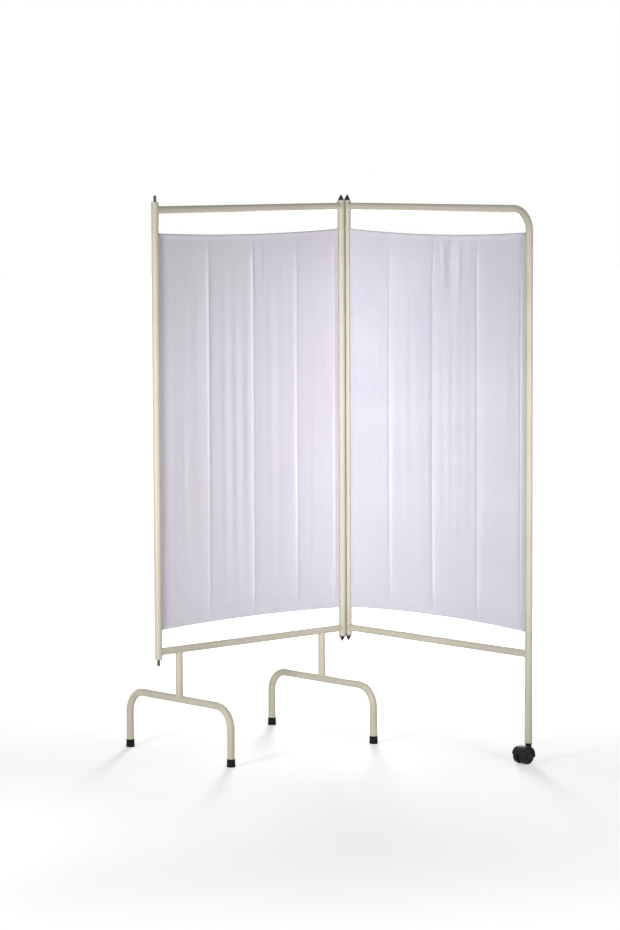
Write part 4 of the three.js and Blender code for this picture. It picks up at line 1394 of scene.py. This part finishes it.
for panel in panels:
    looks = cloth_details[panel.label]
    node = f"{panel.label}_curtain"
    top_wire, bottom_wire = Wire(panel, "top"), Wire(panel, "bottom")
    chance = np.random.default_rng(looks["seed"])
    inner_edge = tube_radius + cloth_gap
    width = panel.width - 2 * inner_edge
    flat_width = width * cloth_ease

    def held_lines(flat):
        """Where the flat shares are held along the top and bottom, and the heights of the stitching."""
        top = inner_edge + width * held_places(flat, looks["top_gathers"])
        bottom = inner_edge + width * held_places(flat, looks["bottom_gathers"])
        top_height = top_wire.height(top) + casing_top - top_hem
        bottom_height = bottom_wire.height(bottom) - casing_top + bottom_hem
        return top, bottom, top_height, bottom_height

    def wave(count):
        """One slight ripple in the cloth as it is hung."""
        size, start, lean = chance.normal(0, wave_height), chance.uniform(0, 6), chance.normal(0, 1)
        return size * np.sin(math.pi * count * flat + start + rise * lean)

    flat = np.linspace(0, 1, sim_columns)
    rise = np.linspace(0, 1, sim_rows)[:, None]
    top, bottom, top_height, bottom_height = held_lines(flat)
    distance = bottom + (top - bottom) * rise
    height = bottom_height + (top_height - bottom_height) * rise
    waves = sum(wave(count) for count in ripple_counts) * np.sin(math.pi * rise) * np.sin(math.pi * flat)
    start_shape = panel.point(distance, ply_offset + waves, height)
    middle_height = height.mean()
    cut_distance = inner_edge + flat_width * flat + 0 * rise
    cut_height = middle_height + cloth_shrink * (height - middle_height)
    cut_shape = panel.point(cut_distance, 0 * height, cut_height)
    settled = hang_cloth(start_shape, cut_shape)
    offset = settled - at_height(panel.hinge, 0)
    sheet = np.stack([offset @ panel.along, offset @ panel.front, settled[..., 2]], axis=-1)

    hem_share = side_hem / flat_width
    flat = spread_places(cloth_columns, [*looks["creases"], hem_share, 1 - hem_share], crowding_reach)
    rise = np.linspace(0, 1, cloth_rows)
    sheet = between(np.swapaxes(between(sheet, rise), 0, 1), flat)
    distance, depth, height = np.moveaxis(np.swapaxes(sheet, 0, 1), -1, 0)
    depth = depth_limit * np.tanh(depth / depth_limit)
    top, bottom, top_height, bottom_height = held_lines(flat)
    below = top_height - height
    above = height - bottom_height
    slack = 1 - slack_share * (np.exp(-below / slack_fall) + np.exp(-above / slack_fall))
    from_edge = np.minimum(flat, 1 - flat) * flat_width
    inward = np.clip(from_edge / edge_ease, 0, 1)
    loose = inward**2 * (3 - 2 * inward)
    across = flat * flat_width
    creases = [share * flat_width for share in looks["creases"]]
    ridge = crease_ridge(across, creases)
    fine = wrinkles(across[None, :], height, flat_width, bottom_height.min(), top_height.max(), chance)
    folds = sum(
        amount * bell((flat - share) / breadth) * bell((rise[:, None] - level) / length)
        for share, level, breadth, length, amount in looks["folds"]
    )
    top_pleats = pleat_depth * pleats(flat, looks["top_gathers"])
    bottom_pleats = pleat_depth * pleats(flat, looks["bottom_gathers"])
    sway = 2 * np.sin(across / pucker_sway_pitch)
    pucker = pucker_depth * np.sin(across / pucker_pitch * 2 * math.pi + sway)
    fall = pleat_fall * (1 + pleat_wander * np.sin(flat / pleat_wander_pitch))
    depth = depth + loose * (
        (ridge + fine) * slack + folds
        + top_pleats * np.exp(-below / fall) + bottom_pleats * np.exp(-above / fall)
        + pucker * (np.exp(-below / pucker_fall) + np.exp(-above / pucker_fall))
    )

    def casing_rows(hem, wire, held, pleat):
        """The rows of one casing, from its front stitching over the wire to its back stitching."""
        path = casing_path(wire.sense, hem)
        from_wire = -wire.sense * path[:, 1] - casing_radius
        reach = np.clip(from_wire / (hem - casing_top - casing_radius), casing_stiffness, 1)
        swell = loose * (pleat + ridge * casing_crease + pucker)[None, :] * reach[:, None]
        height = wire.height(held)[None, :] + path[:, 1:]
        return np.stack(np.broadcast_arrays(held[None, :], path[:, :1] + swell, height), axis=-1)

    top_rows = casing_rows(top_hem, top_wire, top, top_pleats + folds[-1])
    bottom_rows = casing_rows(bottom_hem, bottom_wire, bottom, bottom_pleats + folds[0])[::-1]
    panel_rows = np.stack([distance, depth, height], axis=-1)
    rows = np.concatenate([bottom_rows[:-1], panel_rows, top_rows[1:]])
    points = panel.point(*np.moveaxis(rows, -1, 0))
    travel = running_total(np.linalg.norm(np.diff(rows[:, cloth_columns // 2], axis=0), axis=1))

    mesh = bpy.data.meshes.new(node)
    mesh.from_pydata(points.reshape(-1, 3), [], grid_faces(len(rows), cloth_columns))
    mesh.shade_smooth()
    flat_place = np.stack(np.broadcast_arrays(across[None, :], travel[:, None], looks["seed"]), axis=-1)
    add_attribute(mesh, "flat_place", "FLOAT_VECTOR", "vector", flat_place)
    into_panel = (np.minimum(travel, travel[-1] - travel) - 2 * top_hem) / top_hem
    # A painted highlight on one side of each crease. It wavers along its length and fades where it runs into
    # the casings.
    painted_crease_highlight = np.clip(into_panel, highlight_in_casing, 1)[:, None] * sum(
        bell((across - crease - crease_shift) / crease_breadth)[None, :]
        * (highlight_mean + highlight_swing * np.sin(travel / highlight_wander + chance.uniform(0, 6)))[:, None]
        for crease in creases
    )
    add_attribute(mesh, "painted_crease_highlight", "FLOAT", "value", painted_crease_highlight)
    add_attribute(mesh, "washed", "FLOAT", "value", np.full(painted_crease_highlight.shape, looks["washed"]))
    curtain = add_piece(node + "_cloth", mesh, white_cloth, node)
    plies = curtain.vertex_groups.new(name="plies")
    doubled = np.tile(from_edge < side_hem, len(rows))
    plies.add(np.flatnonzero(doubled).tolist(), 1.0, "REPLACE")
    plies.add(np.flatnonzero(~doubled).tolist(), lone_ply, "REPLACE")
    body = curtain.modifiers.new("thickness", "SOLIDIFY")
    body.thickness = cloth_thickness / lone_ply
    body.offset = 0
    body.vertex_group = "plies"
    apply_modifiers(curtain)

    first_row = len(bottom_rows) - 1
    last_row = first_row + cloth_rows - 1
    front, back = panel.front, -panel.front
    skin = cloth_thickness / 2
    seams = [
        (points[first_row], skin, front), (points[last_row], skin, front),
        (points[1], skin, back), (points[-2], skin, back),
    ]
    for share, inward in ((hem_share, -1), (1 - hem_share, 1)):
        column = int(np.argmin(np.abs(flat - share))) + inward
        seam = points[first_row:last_row, column]
        seams += [(seam, skin / lone_ply, front), (seam, skin / lone_ply, back)]
    all_points, all_faces, count = [], [], 0
    for line, lift, outward in seams:
        run_points, run_faces = stitch_run(line + lift * outward, outward)
        all_points.append(run_points)
        all_faces += [tuple(index + count for index in face) for face in run_faces]
        count += len(run_points)
    mesh = bpy.data.meshes.new(f"{panel.label}_stitching")
    mesh.from_pydata(np.concatenate(all_points), [], all_faces)
    mesh.shade_smooth()
    stitching = add_detail(mesh.name, mesh, sewing_thread, node)
